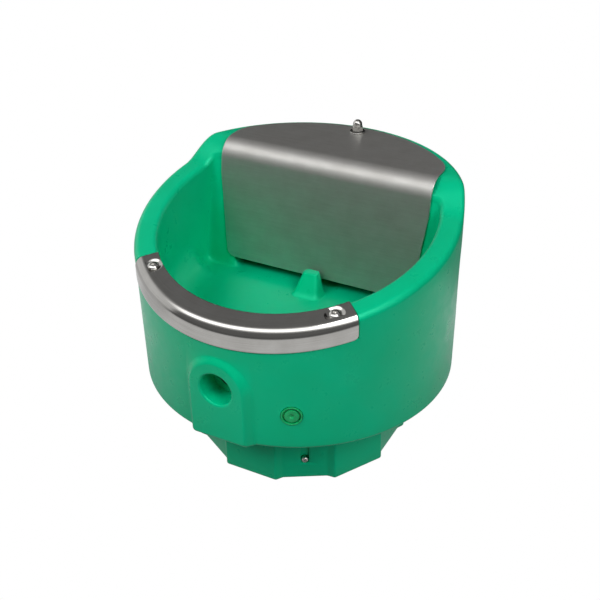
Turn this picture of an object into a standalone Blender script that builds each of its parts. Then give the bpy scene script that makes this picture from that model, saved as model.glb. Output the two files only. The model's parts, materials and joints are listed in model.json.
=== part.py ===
"""Frost-proof livestock drinking bowl.

A rotomoulded double-wall bowl with a foam core stands on a twelve-sided foot. Its rim slopes down to
the front, and its high back carries a lift-off stainless cover over a float valve. The origin is on
the bowl's axis at the bottom of the foot. +Z is up and the drinking side faces -Y.
"""

import math

import bmesh
import bpy
from mathutils import Matrix, Vector

MM = 0.001
FIT = 0.3 * MM
RUN = 0.3 * MM

# Moulded bowl
BOWL_R = 200 * MM
DRAUGHT = 2 * MM
WALL = 6 * MM
RIM_W = 29 * MM
RIM_OUTER_ROUND = 7.5 * MM
RIM_INNER_ROUND = 7 * MM
BASIN_DEPTH = 128 * MM
RIM_SLOPE = 0.2227
SHOULDER_START_Y = 48 * MM
SHOULDER_END_Y = 96 * MM
BACK_RISE = 39.5 * MM
DRUM_BOTTOM_Z = 101.5 * MM
DRUM_BOTTOM_ROUND = 5 * MM
FLOOR_ABOVE_DRUM = 76.5 * MM
FLOOR_ROUND = 40 * MM
FLOOR_FALL = 0.09
CHAMBER_DRAUGHT = 0.1165
PILLAR_ROUND = 7 * MM
CHAMBER_ROUND = 12 * MM
FILLET_FADE_DEG = 12

# Foot
FOOT_SIDES = 12
FOOT_CORNER_R = 141 * MM
FOOT_PANEL_INSET = 6.6 * MM
FOOT_FACE_HALF_DEG = 14.6
FOOT_PANEL_HALF_DEG = 12.1
FOOT_WALL = 24.4 * MM
FLOOR_THICKNESS = 38 * MM
FOOT_EDGE_ROUND = 3 * MM

# Floor nub in front of the cover
NUB_HALF_W = 18.6 * MM
NUB_TOP_HALF_W = 8 * MM
NUB_FRONT_RUN = 21 * MM
NUB_TOP_DEPTH = 8.5 * MM
NUB_PLATE_GAP = 6 * MM
NUB_H = 28 * MM

# Outlet at the front and its plug
OUTLET_R = 20.5 * MM
OUTLET_BELOW_FLOOR = 3.6 * MM
OUTLET_BOSS_HALF_W = 38 * MM
OUTLET_BOSS_PROUD = 4 * MM
OUTLET_WEB_W = 9 * MM
OUTLET_THROAT_R = 12 * MM
OUTLET_SUMP_R = 24 * MM
OUTLET_SUMP_L = 44 * MM
PLUG_HEAD_R = 17 * MM
PLUG_HEAD_W = 6 * MM
PLUG_TAIL = 10 * MM

# Foam-filling plug
FOAM_PLUG_DEG = 25.3
FOAM_PLUG_RISE = 48.5 * MM
FOAM_PLUG_R = 12.5 * MM
FOAM_PLUG_GROOVE_R = 9 * MM
FOAM_PLUG_DISC_R = 7.5 * MM
FOAM_PLUG_PROUD = 1 * MM
FOAM_PLUG_DEPTH = 9 * MM

# Lip guard
GUARD_HALF_DEG = 47
GUARD_SHEET = 2 * MM
GUARD_DROP = 28 * MM
GUARD_BEND_R = 6 * MM
GUARD_PROUD = 0.8 * MM
GUARD_CORNER_R = 8 * MM
GUARD_EDGE_BACK = 1 * MM
SEAT_STEP = 0.4 * MM
SEAT_INNER_ROUND = 2 * MM
SEAT_EDGE_DEG = 0.15
GUARD_SCREW_DEG = 40.5
GUARD_DIMPLE_PAST_FLAT = 0.1 * MM
GUARD_DIMPLE_DEPTH = 2.5 * MM
GUARD_SCREW_HEAD_R = 7 * MM
GUARD_SCREW_HEAD_H = 4.2 * MM
GUARD_SCREW_SHANK_R = 4 * MM
GUARD_SCREW_L = 15 * MM
SOCKET_R = 2.5 * MM
SOCKET_DEPTH = 2.6 * MM
INSERT_R = 7 * MM
INSERT_L = 16 * MM

# Valve cover
COVER_SHEET = 2 * MM
COVER_INSET = 13 * MM
COVER_BEND_R = 26 * MM
PLATE_Y_AT_RIM = 62 * MM
PLATE_LEAN = 0.155
PLATE_ABOVE_FLOOR = 15 * MM
PLATE_LAP = 9 * MM
COVER_STRAIGHT_SIDE = 26 * MM
PLATE_CORNER_R = 11 * MM
STUD_INSET = 16 * MM
STUD_R = 4 * MM
STUD_IN_INSERT = 18 * MM
STUD_BOSS_R = 17 * MM
STUD_BOSS_H = 160 * MM
WASHER_R = 10 * MM
WASHER_T = 1.6 * MM
NUT_FLAT_R = 6.5 * MM
NUT_HEX_H = 6.5 * MM
NUT_DOME_R = 6.25 * MM
NUT_DOME_H = 15 * MM

# Foot screws
BASE_SCREW_DEGS = (30, 150, 270)
BASE_SCREW_Z = 28 * MM
BASE_SCREW_HEAD_R = 5 * MM
BASE_SCREW_HEAD_H = 5 * MM
BASE_SCREW_SHANK_R = 3 * MM
BASE_SCREW_L = 12 * MM
BASE_SLOT_TOP_Z = 50 * MM
BASE_SLOT_DEPTH = 4 * MM
BASE_INSERT_R = 4.6 * MM

# Water inlet
INLET_X = -38 * MM
INLET_DEPTH_SHARE = 0.3365
TAIL_R = 10.5 * MM
TAIL_BORE_R = 7 * MM
TAIL_FLANGE_R = 16.5 * MM
TAIL_FLANGE_T = 3 * MM
TAIL_BELOW = 42 * MM
GASKET_T = 2 * MM
LOCKNUT_FLAT_R = 14 * MM
LOCKNUT_H = 8 * MM

# Float valve
VALVE_ABOVE_FLOOR = 48 * MM
VALVE_SOCKET_R = 14 * MM
VALVE_SOCKET_H = 36 * MM
TAIL_IN_VALVE = 11 * MM
BARREL_RISE = 24 * MM
BARREL_R = 9.5 * MM
BARREL_REACH = 17 * MM
PISTON_R = 5.5 * MM
PISTON_L = 17 * MM
PISTON_TRAVEL = 4.5 * MM
SEAL_T = 2 * MM
NOZZLE_L = 5 * MM
NOZZLE_BORE_R = 2.5 * MM
NOZZLE_START = 4 * MM
SPOUT_R = 2.5 * MM
SPOUT_REACH = 11.5 * MM
EAR_T = 3 * MM
EAR_ROUND = 5 * MM
PIN_REACH = 28 * MM
PIN_BELOW_BARREL = 12 * MM
PIN_R = 2 * MM
PIN_HEAD_R = 3.5 * MM
PIN_HEAD_T = 1.6 * MM
HUB_R = 5 * MM
LEVER_T = 5 * MM
LEVER_PAST = 1.5 * MM
ROD_R = 3 * MM
FLOAT_DEPTH_SHARE = 0.5355
FLOAT_ABOVE_FLOOR = 28 * MM
FLOAT_R = 32 * MM
FLOAT_H = 40 * MM
FLOAT_ROUND = 14 * MM
FLOAT_NUT_R = 7 * MM
FLOAT_NUT_H = 5 * MM
STEM_R = 3 * MM
STEM_ABOVE = 10 * MM
STEM_FLOOR = 6 * MM
ROD_ABOVE = 9 * MM

# Heating element
GLAND_X = 0 * MM
GLAND_TO_ELEMENT = 16 * MM
GLAND_R = 9 * MM
GLAND_HEX_R = 12 * MM
GLAND_HEX_H = 7 * MM
GLAND_BELOW = 18 * MM
GLAND_CABLE_R = 4 * MM
ELEMENT_R = 4 * MM
ELEMENT_LEG = 5.6 * MM
ELEMENT_ABOVE_FLOOR = 19 * MM
ELEMENT_TAIL_GAP = 5.5 * MM
ELEMENT_W = 20 * MM
ELEMENT_SIDE_GAP = 26.5 * MM

# Fineness of the round forms
COLUMNS = (6, 1, 5, 2, 1, 2, 2, 2, 2, 5)
COVER_BEND_STEPS = 7
ROUND_STEPS = 2
FLOOR_STEPS = 4

# Values worked out from the sizes above
FLOOR_Z = DRUM_BOTTOM_Z + FLOOR_ABOVE_DRUM
RIM_CENTRE_Z = FLOOR_Z + BASIN_DEPTH
BACK_Z = RIM_CENTRE_Z + BACK_RISE
RIM_NORMAL = Vector((0, -RIM_SLOPE, 1)).normalized()
INSIDE_R = BOWL_R - RIM_W
FOOT_PANEL_R = FOOT_CORNER_R - FOOT_PANEL_INSET
FOOT_CAVITY_R = FOOT_PANEL_R - FOOT_WALL
FOOT_CEILING_Z = FLOOR_Z - FLOOR_THICKNESS
OUTLET_Z = FLOOR_Z - OUTLET_BELOW_FLOOR
WEB_FRONT_Y = -(INSIDE_R + 4 * MM)
WEB_BACK_Y = WEB_FRONT_Y + OUTLET_WEB_W
FOAM_PLUG_Z = DRUM_BOTTOM_Z + FOAM_PLUG_RISE
GUARD_SEAT = GUARD_SHEET + FIT
GUARD_START_R = INSIDE_R + GUARD_EDGE_BACK
GUARD_FLAT_END_R = BOWL_R + GUARD_PROUD - GUARD_BEND_R
GUARD_SCREW_R = (GUARD_START_R + GUARD_FLAT_END_R) / 2
GUARD_DIMPLE_R = (GUARD_FLAT_END_R - GUARD_START_R) / 2 + GUARD_DIMPLE_PAST_FLAT
COVER_Z = BACK_Z + FIT
COVER_R = BOWL_R - COVER_INSET
STUD_Y = COVER_R - STUD_INSET
PLATE_TAPER = CHAMBER_DRAUGHT
PLATE_BOTTOM_Z = FLOOR_Z + PLATE_ABOVE_FLOOR
VALVE_BASE_Z = FLOOR_Z + VALVE_ABOVE_FLOOR
BARREL_Z = VALVE_BASE_Z + BARREL_RISE
BARREL_END_X = INLET_X + BARREL_REACH
SPOUT_X = INLET_X + SPOUT_REACH
PIN_X = INLET_X + PIN_REACH
PIN_Z = BARREL_Z - PIN_BELOW_BARREL
EAR_GAP = 2 * (PISTON_R + RUN + FIT)
FLOAT_Z = FLOOR_Z + FLOAT_ABOVE_FLOOR
ELEMENT_Z = FLOOR_Z + ELEMENT_ABOVE_FLOOR


def polar(radius, degrees, z=0.0):
    """Point at an angle about the bowl's axis, measured from the front towards +X."""
    turn = math.radians(degrees)
    return Vector((radius * math.sin(turn), -radius * math.cos(turn), z))


def clamp(value, low, high):
    return max(low, min(high, value))


def smooth_min(first, second, reach):
    """The smaller value, with the corner between them rounded over the reach."""
    share = max(reach - abs(first - second), 0.0) / reach
    return min(first, second) - share * share * reach / 4


def smooth_max(first, second, reach):
    return -smooth_min(-first, -second, reach)


def make_material(name, colour, roughness, metallic=0.0):
    material = bpy.data.materials.new(name)
    material.use_nodes = True
    shader = material.node_tree.nodes["Principled BSDF"]
    shader.inputs["Base Color"].default_value = (*colour, 1.0)
    shader.inputs["Roughness"].default_value = roughness
    shader.inputs["Metallic"].default_value = metallic
    material.diffuse_color = (*colour, 1.0)
    return material


def finish(name, bm, material=None):
    """Writes a bmesh to a new object with smooth round faces and sharp corners."""
    bmesh.ops.recalc_face_normals(bm, faces=bm.faces)
    mesh = bpy.data.meshes.new(name)
    bm.to_mesh(mesh)
    bm.free()
    mesh.shade_smooth()
    mesh.set_sharp_from_angle(angle=math.radians(35))
    obj = bpy.data.objects.new(name, mesh)
    bpy.context.scene.collection.objects.link(obj)
    if material:
        mesh.materials.append(material)
    return obj


def loft(name, rings, material=None, closed=False):
    """Solid through rings of points. A ring of one point is a tip, and a closed loft is a loop."""
    bm = bmesh.new()
    rows = [[bm.verts.new(point) for point in ring] for ring in rings]
    if closed:
        rows.append(rows[0])
    for lower, upper in zip(rows, rows[1:]):
        count = max(len(lower), len(upper))
        for i in range(count):
            j = (i + 1) % count
            if len(lower) == 1:
                bm.faces.new((lower[0], upper[j], upper[i]))
            elif len(upper) == 1:
                bm.faces.new((lower[i], lower[j], upper[0]))
            else:
                bm.faces.new((lower[i], lower[j], upper[j], upper[i]))
    quads = [face for face in bm.faces if len(face.verts) == 4]
    bmesh.ops.triangulate(bm, faces=quads, quad_method="FIXED")
    for row in (rows[0], rows[-1]):
        if len(row) > 1 and not closed:
            bm.faces.new(row)
    return finish(name, bm, material)


def place(at, towards=(0, 0, 1)):
    """Matrix that stands local +Z along a direction at a point."""
    turn = Vector(towards).to_track_quat("Z", "Y").to_matrix().to_4x4()
    return Matrix.Translation(Vector(at)) @ turn


def circle(radius, z, sides, matrix, phase=0.0):
    if radius <= 0:
        return [matrix @ Vector((0, 0, z))]
    turns = [2 * math.pi * (i + phase) / sides for i in range(sides)]
    return [matrix @ Vector((radius * math.cos(a), radius * math.sin(a), z)) for a in turns]


def turned(name, profile, matrix, sides=24, material=None, phase=0.0):
    """Turned solid from (radius, height) points, standing on a placing matrix."""
    rings = [circle(radius, z, sides, matrix, phase) for radius, z in profile]
    return loft(name, rings, material)


def turned_ring(name, profile, matrix, sides=24, material=None, phase=0.0):
    """Turned solid with a hole through it, from a closed profile that stays off the axis."""
    rings = [circle(radius, z, sides, matrix, phase) for radius, z in profile]
    return loft(name, rings, material, closed=True)


def rod(name, radius, low, high, matrix, sides=24, material=None):
    """Plain round bar or cutter, turned half a side so that no edge of it lies on an axis plane."""
    return turned(name, [(radius, low), (radius, high)], matrix, sides, material, phase=0.5)


def prism(name, outline, low, high, matrix, material=None):
    """Extrudes a flat outline between two heights of a placing matrix."""
    rings = [[matrix @ Vector((x, y, z)) for x, y in outline] for z in (low, high)]
    return loft(name, rings, material)


def combine(target, tool, operation):
    """Joins or cuts a solid with a tool, which is used up."""
    modifier = target.modifiers.new("combine", "BOOLEAN")
    modifier.operation = operation
    modifier.solver = "EXACT"
    modifier.object = tool
    bpy.context.view_layer.update()
    graph = bpy.context.evaluated_depsgraph_get()
    mesh = bpy.data.meshes.new_from_object(target.evaluated_get(graph))
    target.modifiers.remove(modifier)
    old = target.data
    target.data = mesh
    mesh.name = target.name
    bpy.data.meshes.remove(old)
    used = tool.data
    bpy.data.objects.remove(tool)
    bpy.data.meshes.remove(used)
    mesh.set_sharp_from_angle(angle=math.radians(35))


def cut(target, *tools):
    for tool in tools:
        combine(target, tool, "DIFFERENCE")


def join(target, *tools):
    for tool in tools:
        combine(target, tool, "UNION")


def rim_height(y):
    """Rim plane that falls to the front, and the shoulder that rises to the flat back."""
    start = RIM_CENTRE_Z + RIM_SLOPE * SHOULDER_START_Y
    if y <= SHOULDER_START_Y:
        return RIM_CENTRE_Z + RIM_SLOPE * y
    span = SHOULDER_END_Y - SHOULDER_START_Y
    t = clamp((y - SHOULDER_START_Y) / span, 0.0, 1.0)
    ease = t * t * (3 - 2 * t)
    return start * (1 - ease) + BACK_Z * ease + t * (1 - t) ** 2 * RIM_SLOPE * span


def floor_height(y):
    """Level floor that falls to the outlet in its front half."""
    return FLOOR_Z + FLOOR_FALL * min(0.0, y + 20 * MM)


def plate_y(z):
    """Front face of the cover's plate."""
    return PLATE_Y_AT_RIM + PLATE_LEAN * (z - RIM_CENTRE_Z)


def bend_centre():
    """Axis of the cover's bend, as its y and z."""
    z = COVER_Z + COVER_SHEET - COVER_BEND_R
    return plate_y(z) + COVER_BEND_R / math.cos(math.atan(PLATE_LEAN)), z


def plate_half_width(z):
    """The plate is as wide at the rim as the cover's round back where its straight sides begin."""
    side_y = bend_centre()[0] + COVER_STRAIGHT_SIDE
    return math.sqrt(COVER_R ** 2 - side_y ** 2) + PLATE_TAPER * min(0.0, z - RIM_CENTRE_Z)


def outer_radius(z):
    return BOWL_R - DRAUGHT * (RIM_CENTRE_Z - z) / (RIM_CENTRE_Z - DRUM_BOTTOM_Z)


def chamber_half_width(z):
    return plate_half_width(z) - PLATE_LAP


def chamber_place(share):
    """Y at a share of the clear way from the cover's plate to the stud's boss."""
    front = plate_y(FLOAT_Z) + COVER_SHEET
    return front + share * (STUD_Y - STUD_BOSS_R - front)


# Places inside the valve chamber
INLET_Y = chamber_place(INLET_DEPTH_SHARE)
FLOAT_Y = chamber_place(FLOAT_DEPTH_SHARE)
FLOAT_X = (GLAND_X + ELEMENT_LEG + ELEMENT_R + chamber_half_width(FLOAT_Z)) / 2
ELEMENT_NEAR_Y = INLET_Y + TAIL_R + ELEMENT_TAIL_GAP + ELEMENT_R
ELEMENT_FAR_Y = ELEMENT_NEAR_Y + ELEMENT_W
ELEMENT_END_X = ELEMENT_SIDE_GAP + ELEMENT_R + ELEMENT_W / 2 - chamber_half_width(ELEMENT_Z)
GLAND_Y = ELEMENT_NEAR_Y - GLAND_TO_ELEMENT


class DrumLoft:
    """Rings of the drum's skin, from its lower edge over the rim and down to the floor."""

    def plan(self, z):
        """Inside radius, chamber half width and pillar face at a height."""
        half = chamber_half_width(z)
        face = plate_y(z) + COVER_SHEET + FIT
        return INSIDE_R, half, face

    def columns(self, z):
        """Angles of the columns, which follow the guard's ends and the pillars' corners."""
        radius, half, face = self.plan(z)
        meet = 90 + math.degrees(math.asin(face / radius))
        corner = 90 + math.degrees(math.atan2(face, half))
        merge = 180 - math.degrees(math.asin(half / radius))
        near = (corner - meet) / 4
        seat_end = GUARD_HALF_DEG + SEAT_EDGE_DEG
        knots = (0, seat_end, seat_end + SEAT_EDGE_DEG, 90, meet - 4, meet + near,
                 corner - near, corner + 2.5, merge - 4, merge + 5, 180)
        right = [0.0]
        for low, high, count in zip(knots, knots[1:], COLUMNS):
            right += [low + (high - low) * (i + 1) / count for i in range(count)]
        return right + [360 - angle for angle in reversed(right[1:-1])]

    def inside(self, degrees, z):
        """Plan radius of the inside wall: round bowl in front, straight-sided chamber behind."""
        radius, half, face = self.plan(z)
        turn = math.radians(degrees)
        bowl = face / max(-math.cos(turn), 0.02)
        chamber = half / max(abs(math.sin(turn)), 0.02)
        behind = smooth_max(bowl, chamber, PILLAR_ROUND)
        return smooth_min(radius, behind, PILLAR_ROUND)

    def seated(self, degrees):
        return min(degrees, 360 - degrees) <= GUARD_HALF_DEG + 1.5 * SEAT_EDGE_DEG

    def fillet(self, degrees, z):
        """Radius between wall and floor: large in the bowl and small inside the chamber."""
        radius, _, face = self.plan(z)
        meet = 90 + math.degrees(math.asin(face / radius))
        behind = clamp((min(degrees, 360 - degrees) - meet + FILLET_FADE_DEG) / 10, 0.0, 1.0)
        return FLOOR_ROUND + (CHAMBER_ROUND - FLOOR_ROUND) * behind

    def rim_edge(self):
        """Angle and height of each column where the inside wall meets the rim."""
        edge = []
        for i, start in enumerate(self.columns(RIM_CENTRE_Z)):
            level = rim_height(polar(self.inside(start, RIM_CENTRE_Z), start).y)
            edge.append((self.columns(level)[i], level))
        return edge

    def outer_ring(self, z):
        return [polar(outer_radius(z), a, z) for a in self.columns(z)]

    def seat_ring(self, below):
        """Ring at the foot of the guard's seat, just below or just above its step."""
        ring = []
        for a, _ in self.rim_edge():
            depth = GUARD_SEAT - GUARD_PROUD if self.seated(a) and not below else 0.0
            z = rim_height(polar(BOWL_R, a).y) - GUARD_DROP - FIT - (SEAT_STEP if below else 0.0)
            ring.append(polar(outer_radius(z) - depth, a, z))
        return ring

    def rim_ring(self, swing, outside):
        """Ring on the rim's outer or inner rounding. The swing runs from upright to flat."""
        ring = []
        for a, level in self.rim_edge():
            seated = self.seated(a)
            if outside:
                bend = RIM_OUTER_ROUND
                edge = BOWL_R - (GUARD_SEAT - GUARD_PROUD if seated else 0.0)
                radius = edge - bend * (1 - math.cos(swing))
            else:
                bend = SEAT_INNER_ROUND if seated else RIM_INNER_ROUND
                radius = self.inside(a, level) + bend * (1 - math.cos(swing))
            top = rim_height(polar(radius, a).y) - (GUARD_SEAT if seated else 0.0)
            ring.append(polar(radius, a, top - bend * (1 - math.sin(swing))))
        return ring

    def wall_ring(self, share):
        """Ring on the inside wall, at a share of the way from the rim to the floor fillet."""
        ring = []
        for i, (a, level) in enumerate(self.rim_edge()):
            rim = rim_height(polar(self.inside(a, level), a).y)
            top = rim - RIM_INNER_ROUND - GUARD_SEAT
            low = FLOOR_Z + self.fillet(a, FLOOR_Z)
            z = top * (1 - share) + low * share
            turn = self.columns(z)[i]
            ring.append(polar(self.inside(turn, z), turn, z))
        return ring

    def floor_ring(self, swing, share=1.0):
        """Ring on the fillet between wall and floor, or on the floor itself."""
        ring = []
        for i, start in enumerate(self.columns(FLOOR_Z)):
            fillet = self.fillet(start, FLOOR_Z)
            level = FLOOR_Z + fillet
            a = self.columns(level)[i]
            radius = (self.inside(a, level) - fillet * (1 - math.cos(swing))) * share
            floor = floor_height(polar(radius, a).y)
            ring.append(polar(radius, a, floor + fillet * (1 - math.sin(swing))))
        return ring

    def rings(self):
        quarter = [math.pi / 2 * i / ROUND_STEPS for i in range(ROUND_STEPS + 1)]
        low = outer_radius(DRUM_BOTTOM_Z)
        rings = []
        for swing in reversed(quarter):
            radius = low - DRUM_BOTTOM_ROUND * (1 - math.cos(swing))
            z = DRUM_BOTTOM_Z + DRUM_BOTTOM_ROUND * (1 - math.sin(swing))
            rings.append([polar(radius, a, z) for a in self.columns(DRUM_BOTTOM_Z)])
        rings.append(self.outer_ring(FLOOR_Z))
        rings += [self.seat_ring(below) for below in (True, False)]
        rings += [self.rim_ring(swing, outside=True) for swing in quarter]
        rings += [self.rim_ring(swing, outside=False) for swing in reversed(quarter)]
        rings += [self.wall_ring(share) for share in (0.0, 0.5)]
        steps = [math.pi / 2 * i / FLOOR_STEPS for i in range(FLOOR_STEPS + 1)]
        rings += [self.floor_ring(swing) for swing in steps]
        rings.append(self.floor_ring(math.pi / 2, share=0.45))
        rings.append([Vector((0, 0, FLOOR_Z))])
        return rings


def foot_plan():
    """(radius, angle) points of the twelve-sided foot, whose faces stand out and in by turns."""
    points = []
    for side in range(FOOT_SIDES):
        proud = side % 2 == 0
        radius = FOOT_CORNER_R if proud else FOOT_PANEL_R
        half = FOOT_FACE_HALF_DEG if proud else FOOT_PANEL_HALF_DEG
        middle = 360 / FOOT_SIDES * side
        points += [(radius, middle - half), (radius, middle + half)]
    return points


def foot_rings():
    """Rings of the foot's outside, rounded at the bottom, up into the drum."""
    edge = FOOT_EDGE_ROUND
    levels = [(0.0, edge), (edge * 0.3, edge * 0.3), (edge, 0.0), (DRUM_BOTTOM_Z + WALL, 0.0)]
    return [[polar(radius - pull, a, z) for radius, a in foot_plan()] for z, pull in levels]


def outlet_frame():
    """Outlet's axis: local +Z points out of the front, and local heights are distances from the bowl's axis."""
    return place((0, 0, OUTLET_Z), (0, -1, 0))


def outlet_boss():
    """Flat arch-topped pad round the outlet, down to the drum's lower edge."""
    half = OUTLET_BOSS_HALF_W
    front = BOWL_R + OUTLET_BOSS_PROUD
    arch = [(half * math.cos(math.pi * i / 12), OUTLET_Z + half * math.sin(math.pi * i / 12))
            for i in range(13)]
    arch += [(-half, DRUM_BOTTOM_Z + FIT), (half, DRUM_BOTTOM_Z + FIT)]
    rings = []
    for grow, y in ((0.0, -INSIDE_R - WALL), (0.0, -front + 2 * MM), (-2 * MM, -front)):
        ring = []
        for x, z in arch:
            out = Vector((x, z - OUTLET_Z)).normalized() * grow
            ring.append(Vector((x + out.x, y, max(z + out.y, DRUM_BOTTOM_Z + FIT))))
        rings.append(ring)
    return loft("outlet_boss", rings)


def floor_nub():
    """Tapered nub on the floor, just in front of the cover."""
    foot_back = plate_y(FLOOR_Z) - NUB_PLATE_GAP / 2
    back = plate_y(FLOOR_Z + NUB_H) - NUB_PLATE_GAP
    front = back - NUB_TOP_DEPTH
    levels = ((FLOOR_Z - 2 * MM, NUB_HALF_W, front - NUB_FRONT_RUN, foot_back),
              (FLOOR_Z + NUB_H - 2 * MM, NUB_TOP_HALF_W + MM, front - MM, back),
              (FLOOR_Z + NUB_H, NUB_TOP_HALF_W - MM, front + MM, back - 2 * MM))
    rings = []
    for z, half, front, rear in levels:
        corner = 3 * MM
        rings.append([Vector(point) for point in (
            (half - corner, front, z), (half, front + corner, z),
            (half, rear - corner, z), (half - corner, rear, z),
            (corner - half, rear, z), (-half, rear - corner, z),
            (-half, front + corner, z), (corner - half, front, z))])
    return loft("floor_nub", rings)


def stud_boss():
    """Half-round boss on the chamber's back wall, which carries the cover's stud."""
    top = BACK_Z - FIT
    return rod("stud_boss", STUD_BOSS_R, top - STUD_BOSS_H, top, place((0, STUD_Y, 0)), 18)


def guard_screw_frames():
    """Frames of the guard's screws: local +Z stands out of the rim."""
    frames = []
    for side in (-1, 1):
        point = polar(GUARD_SCREW_R, side * GUARD_SCREW_DEG)
        point.z = rim_height(point.y)
        frames.append(place(point, RIM_NORMAL))
    return frames


def base_screw_frames():
    """Frames of the foot's screws: local +Z points outwards from the recessed panel."""
    apothem = FOOT_PANEL_R * math.cos(math.radians(FOOT_PANEL_HALF_DEG))
    return [place(polar(apothem, deg, BASE_SCREW_Z), polar(1, deg)) for deg in BASE_SCREW_DEGS]


def foam_plug_frame():
    skin = outer_radius(FOAM_PLUG_Z)
    return place(polar(skin, FOAM_PLUG_DEG, FOAM_PLUG_Z), polar(1, FOAM_PLUG_DEG))


def screw_pocket_depth():
    return GUARD_DIMPLE_DEPTH + GUARD_SHEET + 2 * FIT


def slot_cutter(frame):
    """Upright slot above a foot screw, with a round lower end."""
    half = BASE_SCREW_HEAD_R + FIT
    height = BASE_SLOT_TOP_Z - BASE_SCREW_Z
    round_end = [(half * math.cos(math.pi * i / 6), -half * math.sin(math.pi * i / 6)) for i in range(7)]
    outline = [(half, height), *round_end, (-half, height)]
    upward = Vector((0, 0, 1))
    outward = frame.to_3x3() @ upward
    axes = Matrix((upward.cross(outward).normalized(), upward, outward)).transposed()
    upright = Matrix.Translation(frame.translation) @ axes.to_4x4()
    return prism("slot", outline, -BASE_SLOT_DEPTH, 2 * MM, upright)


def make_bowl_body(material):
    body = loft("bowl_body", DrumLoft().rings(), material)
    join(body, loft("foot", foot_rings()), outlet_boss(), floor_nub(), stud_boss())
    cut(body, rod("cavity", FOOT_CAVITY_R, -WALL, FOOT_CEILING_Z, place((0, 0, 0)), 36))
    axis = outlet_frame()
    cut(body, rod("bore", OUTLET_R, -WEB_FRONT_Y, BOWL_R + 20 * MM, axis, 32))
    cut(body, rod("throat", OUTLET_THROAT_R, -WEB_BACK_Y - 5 * MM, BOWL_R, axis, 20))
    cut(body, rod("sump", OUTLET_SUMP_R, -WEB_BACK_Y - OUTLET_SUMP_L, -WEB_BACK_Y, axis, 20))
    for x, y, radius in ((INLET_X, INLET_Y, TAIL_R), (GLAND_X, GLAND_Y, GLAND_R)):
        cut(body, rod("hole", radius + FIT, FOOT_CEILING_Z - WALL, FLOOR_Z + WALL, place((x, y, 0)), 16))
    for frame in guard_screw_frames():
        floor = -screw_pocket_depth()
        cut(body, turned("dimple", [(GUARD_DIMPLE_R + 2 * MM, 2 * MM), (GUARD_DIMPLE_R + 2 * MM, -GUARD_SEAT),
                                    (GUARD_DIMPLE_R - MM, floor)], frame, 18))
        cut(body, rod("pocket", INSERT_R + FIT, floor - INSERT_L - FIT, floor + MM, frame, 12))
    top = place((0, STUD_Y, BACK_Z))
    cut(body, rod("pocket", INSERT_R + FIT, -STUD_IN_INSERT - 2 * MM - 2 * FIT, 2 * MM, top, 12))
    for frame in base_screw_frames():
        cut(body, slot_cutter(frame))
        depth = BASE_SLOT_DEPTH + BASE_SCREW_L - BASE_SCREW_HEAD_H + 4 * MM
        cut(body, rod("pocket", BASE_INSERT_R + FIT, -depth, MM - BASE_SLOT_DEPTH, frame, 12))
    cut(body, rod("plug_hole", FOAM_PLUG_R + FIT, -FOAM_PLUG_DEPTH - FIT, 4 * MM, foam_plug_frame()))
    return body


def make_foam_plug(material):
    """Push-in plug: a ring, a groove and a raised disc with a small dimple."""
    hollow = FOAM_PLUG_PROUD - 1.5 * MM
    profile = [(0, -FOAM_PLUG_DEPTH), (FOAM_PLUG_R - MM, -FOAM_PLUG_DEPTH), (FOAM_PLUG_R, -WALL),
               (FOAM_PLUG_R, FOAM_PLUG_PROUD), (FOAM_PLUG_GROOVE_R, FOAM_PLUG_PROUD),
               (FOAM_PLUG_GROOVE_R, hollow), (FOAM_PLUG_DISC_R, hollow),
               (FOAM_PLUG_DISC_R, FOAM_PLUG_PROUD), (FOAM_PLUG_DISC_R / 4, FOAM_PLUG_PROUD),
               (0, hollow)]
    return turned("foam_plug", profile, foam_plug_frame(), 24, material)


def make_drain_plug(material):
    """Rubber plug: a tapered tail in the outlet's throat and a head against the inside of its web."""
    seat = -WEB_BACK_Y - FIT
    tail = OUTLET_THROAT_R - FIT
    profile = [(0, seat - PLUG_HEAD_W), (PLUG_HEAD_R - 2 * MM, seat - PLUG_HEAD_W),
               (PLUG_HEAD_R, seat - PLUG_HEAD_W + 2 * MM), (PLUG_HEAD_R, seat), (tail, seat),
               (tail - 0.5 * MM, seat + PLUG_TAIL), (tail - 2 * MM, seat + PLUG_TAIL + 1.5 * MM),
               (0, seat + PLUG_TAIL + 1.5 * MM)]
    return turned("drain_plug", profile, outlet_frame(), 20, material)


def guard_drop(from_end):
    """Depth of the guard's side, cut back round at its lower corners."""
    short = GUARD_CORNER_R - min(from_end, GUARD_CORNER_R)
    return GUARD_DROP - GUARD_CORNER_R + math.sqrt(GUARD_CORNER_R ** 2 - short ** 2)


def guard_section(degrees, from_end):
    """Section of the bent sheet at an angle about the bowl, as a ring of points."""
    edge = BOWL_R + GUARD_PROUD
    drop = guard_drop(from_end)
    inner = GUARD_BEND_R - GUARD_SHEET
    swings = [math.pi / 2 * i / ROUND_STEPS for i in range(ROUND_STEPS + 1)]
    centre = edge - GUARD_BEND_R
    outside = [(centre + GUARD_BEND_R * math.sin(a), GUARD_BEND_R * (math.cos(a) - 1)) for a in swings]
    inside = [(centre + inner * math.sin(a), inner * math.cos(a) - GUARD_BEND_R) for a in swings]
    start = GUARD_START_R
    section = [(start, 0.0), *outside, (edge, -drop), (edge - GUARD_SHEET, -drop)]
    section += [*reversed(inside), (start, -GUARD_SHEET)]
    points = []
    for radius, fall in section:
        point = polar(radius, degrees)
        point.z = rim_height(point.y) + fall
        points.append(point)
    return points


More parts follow.
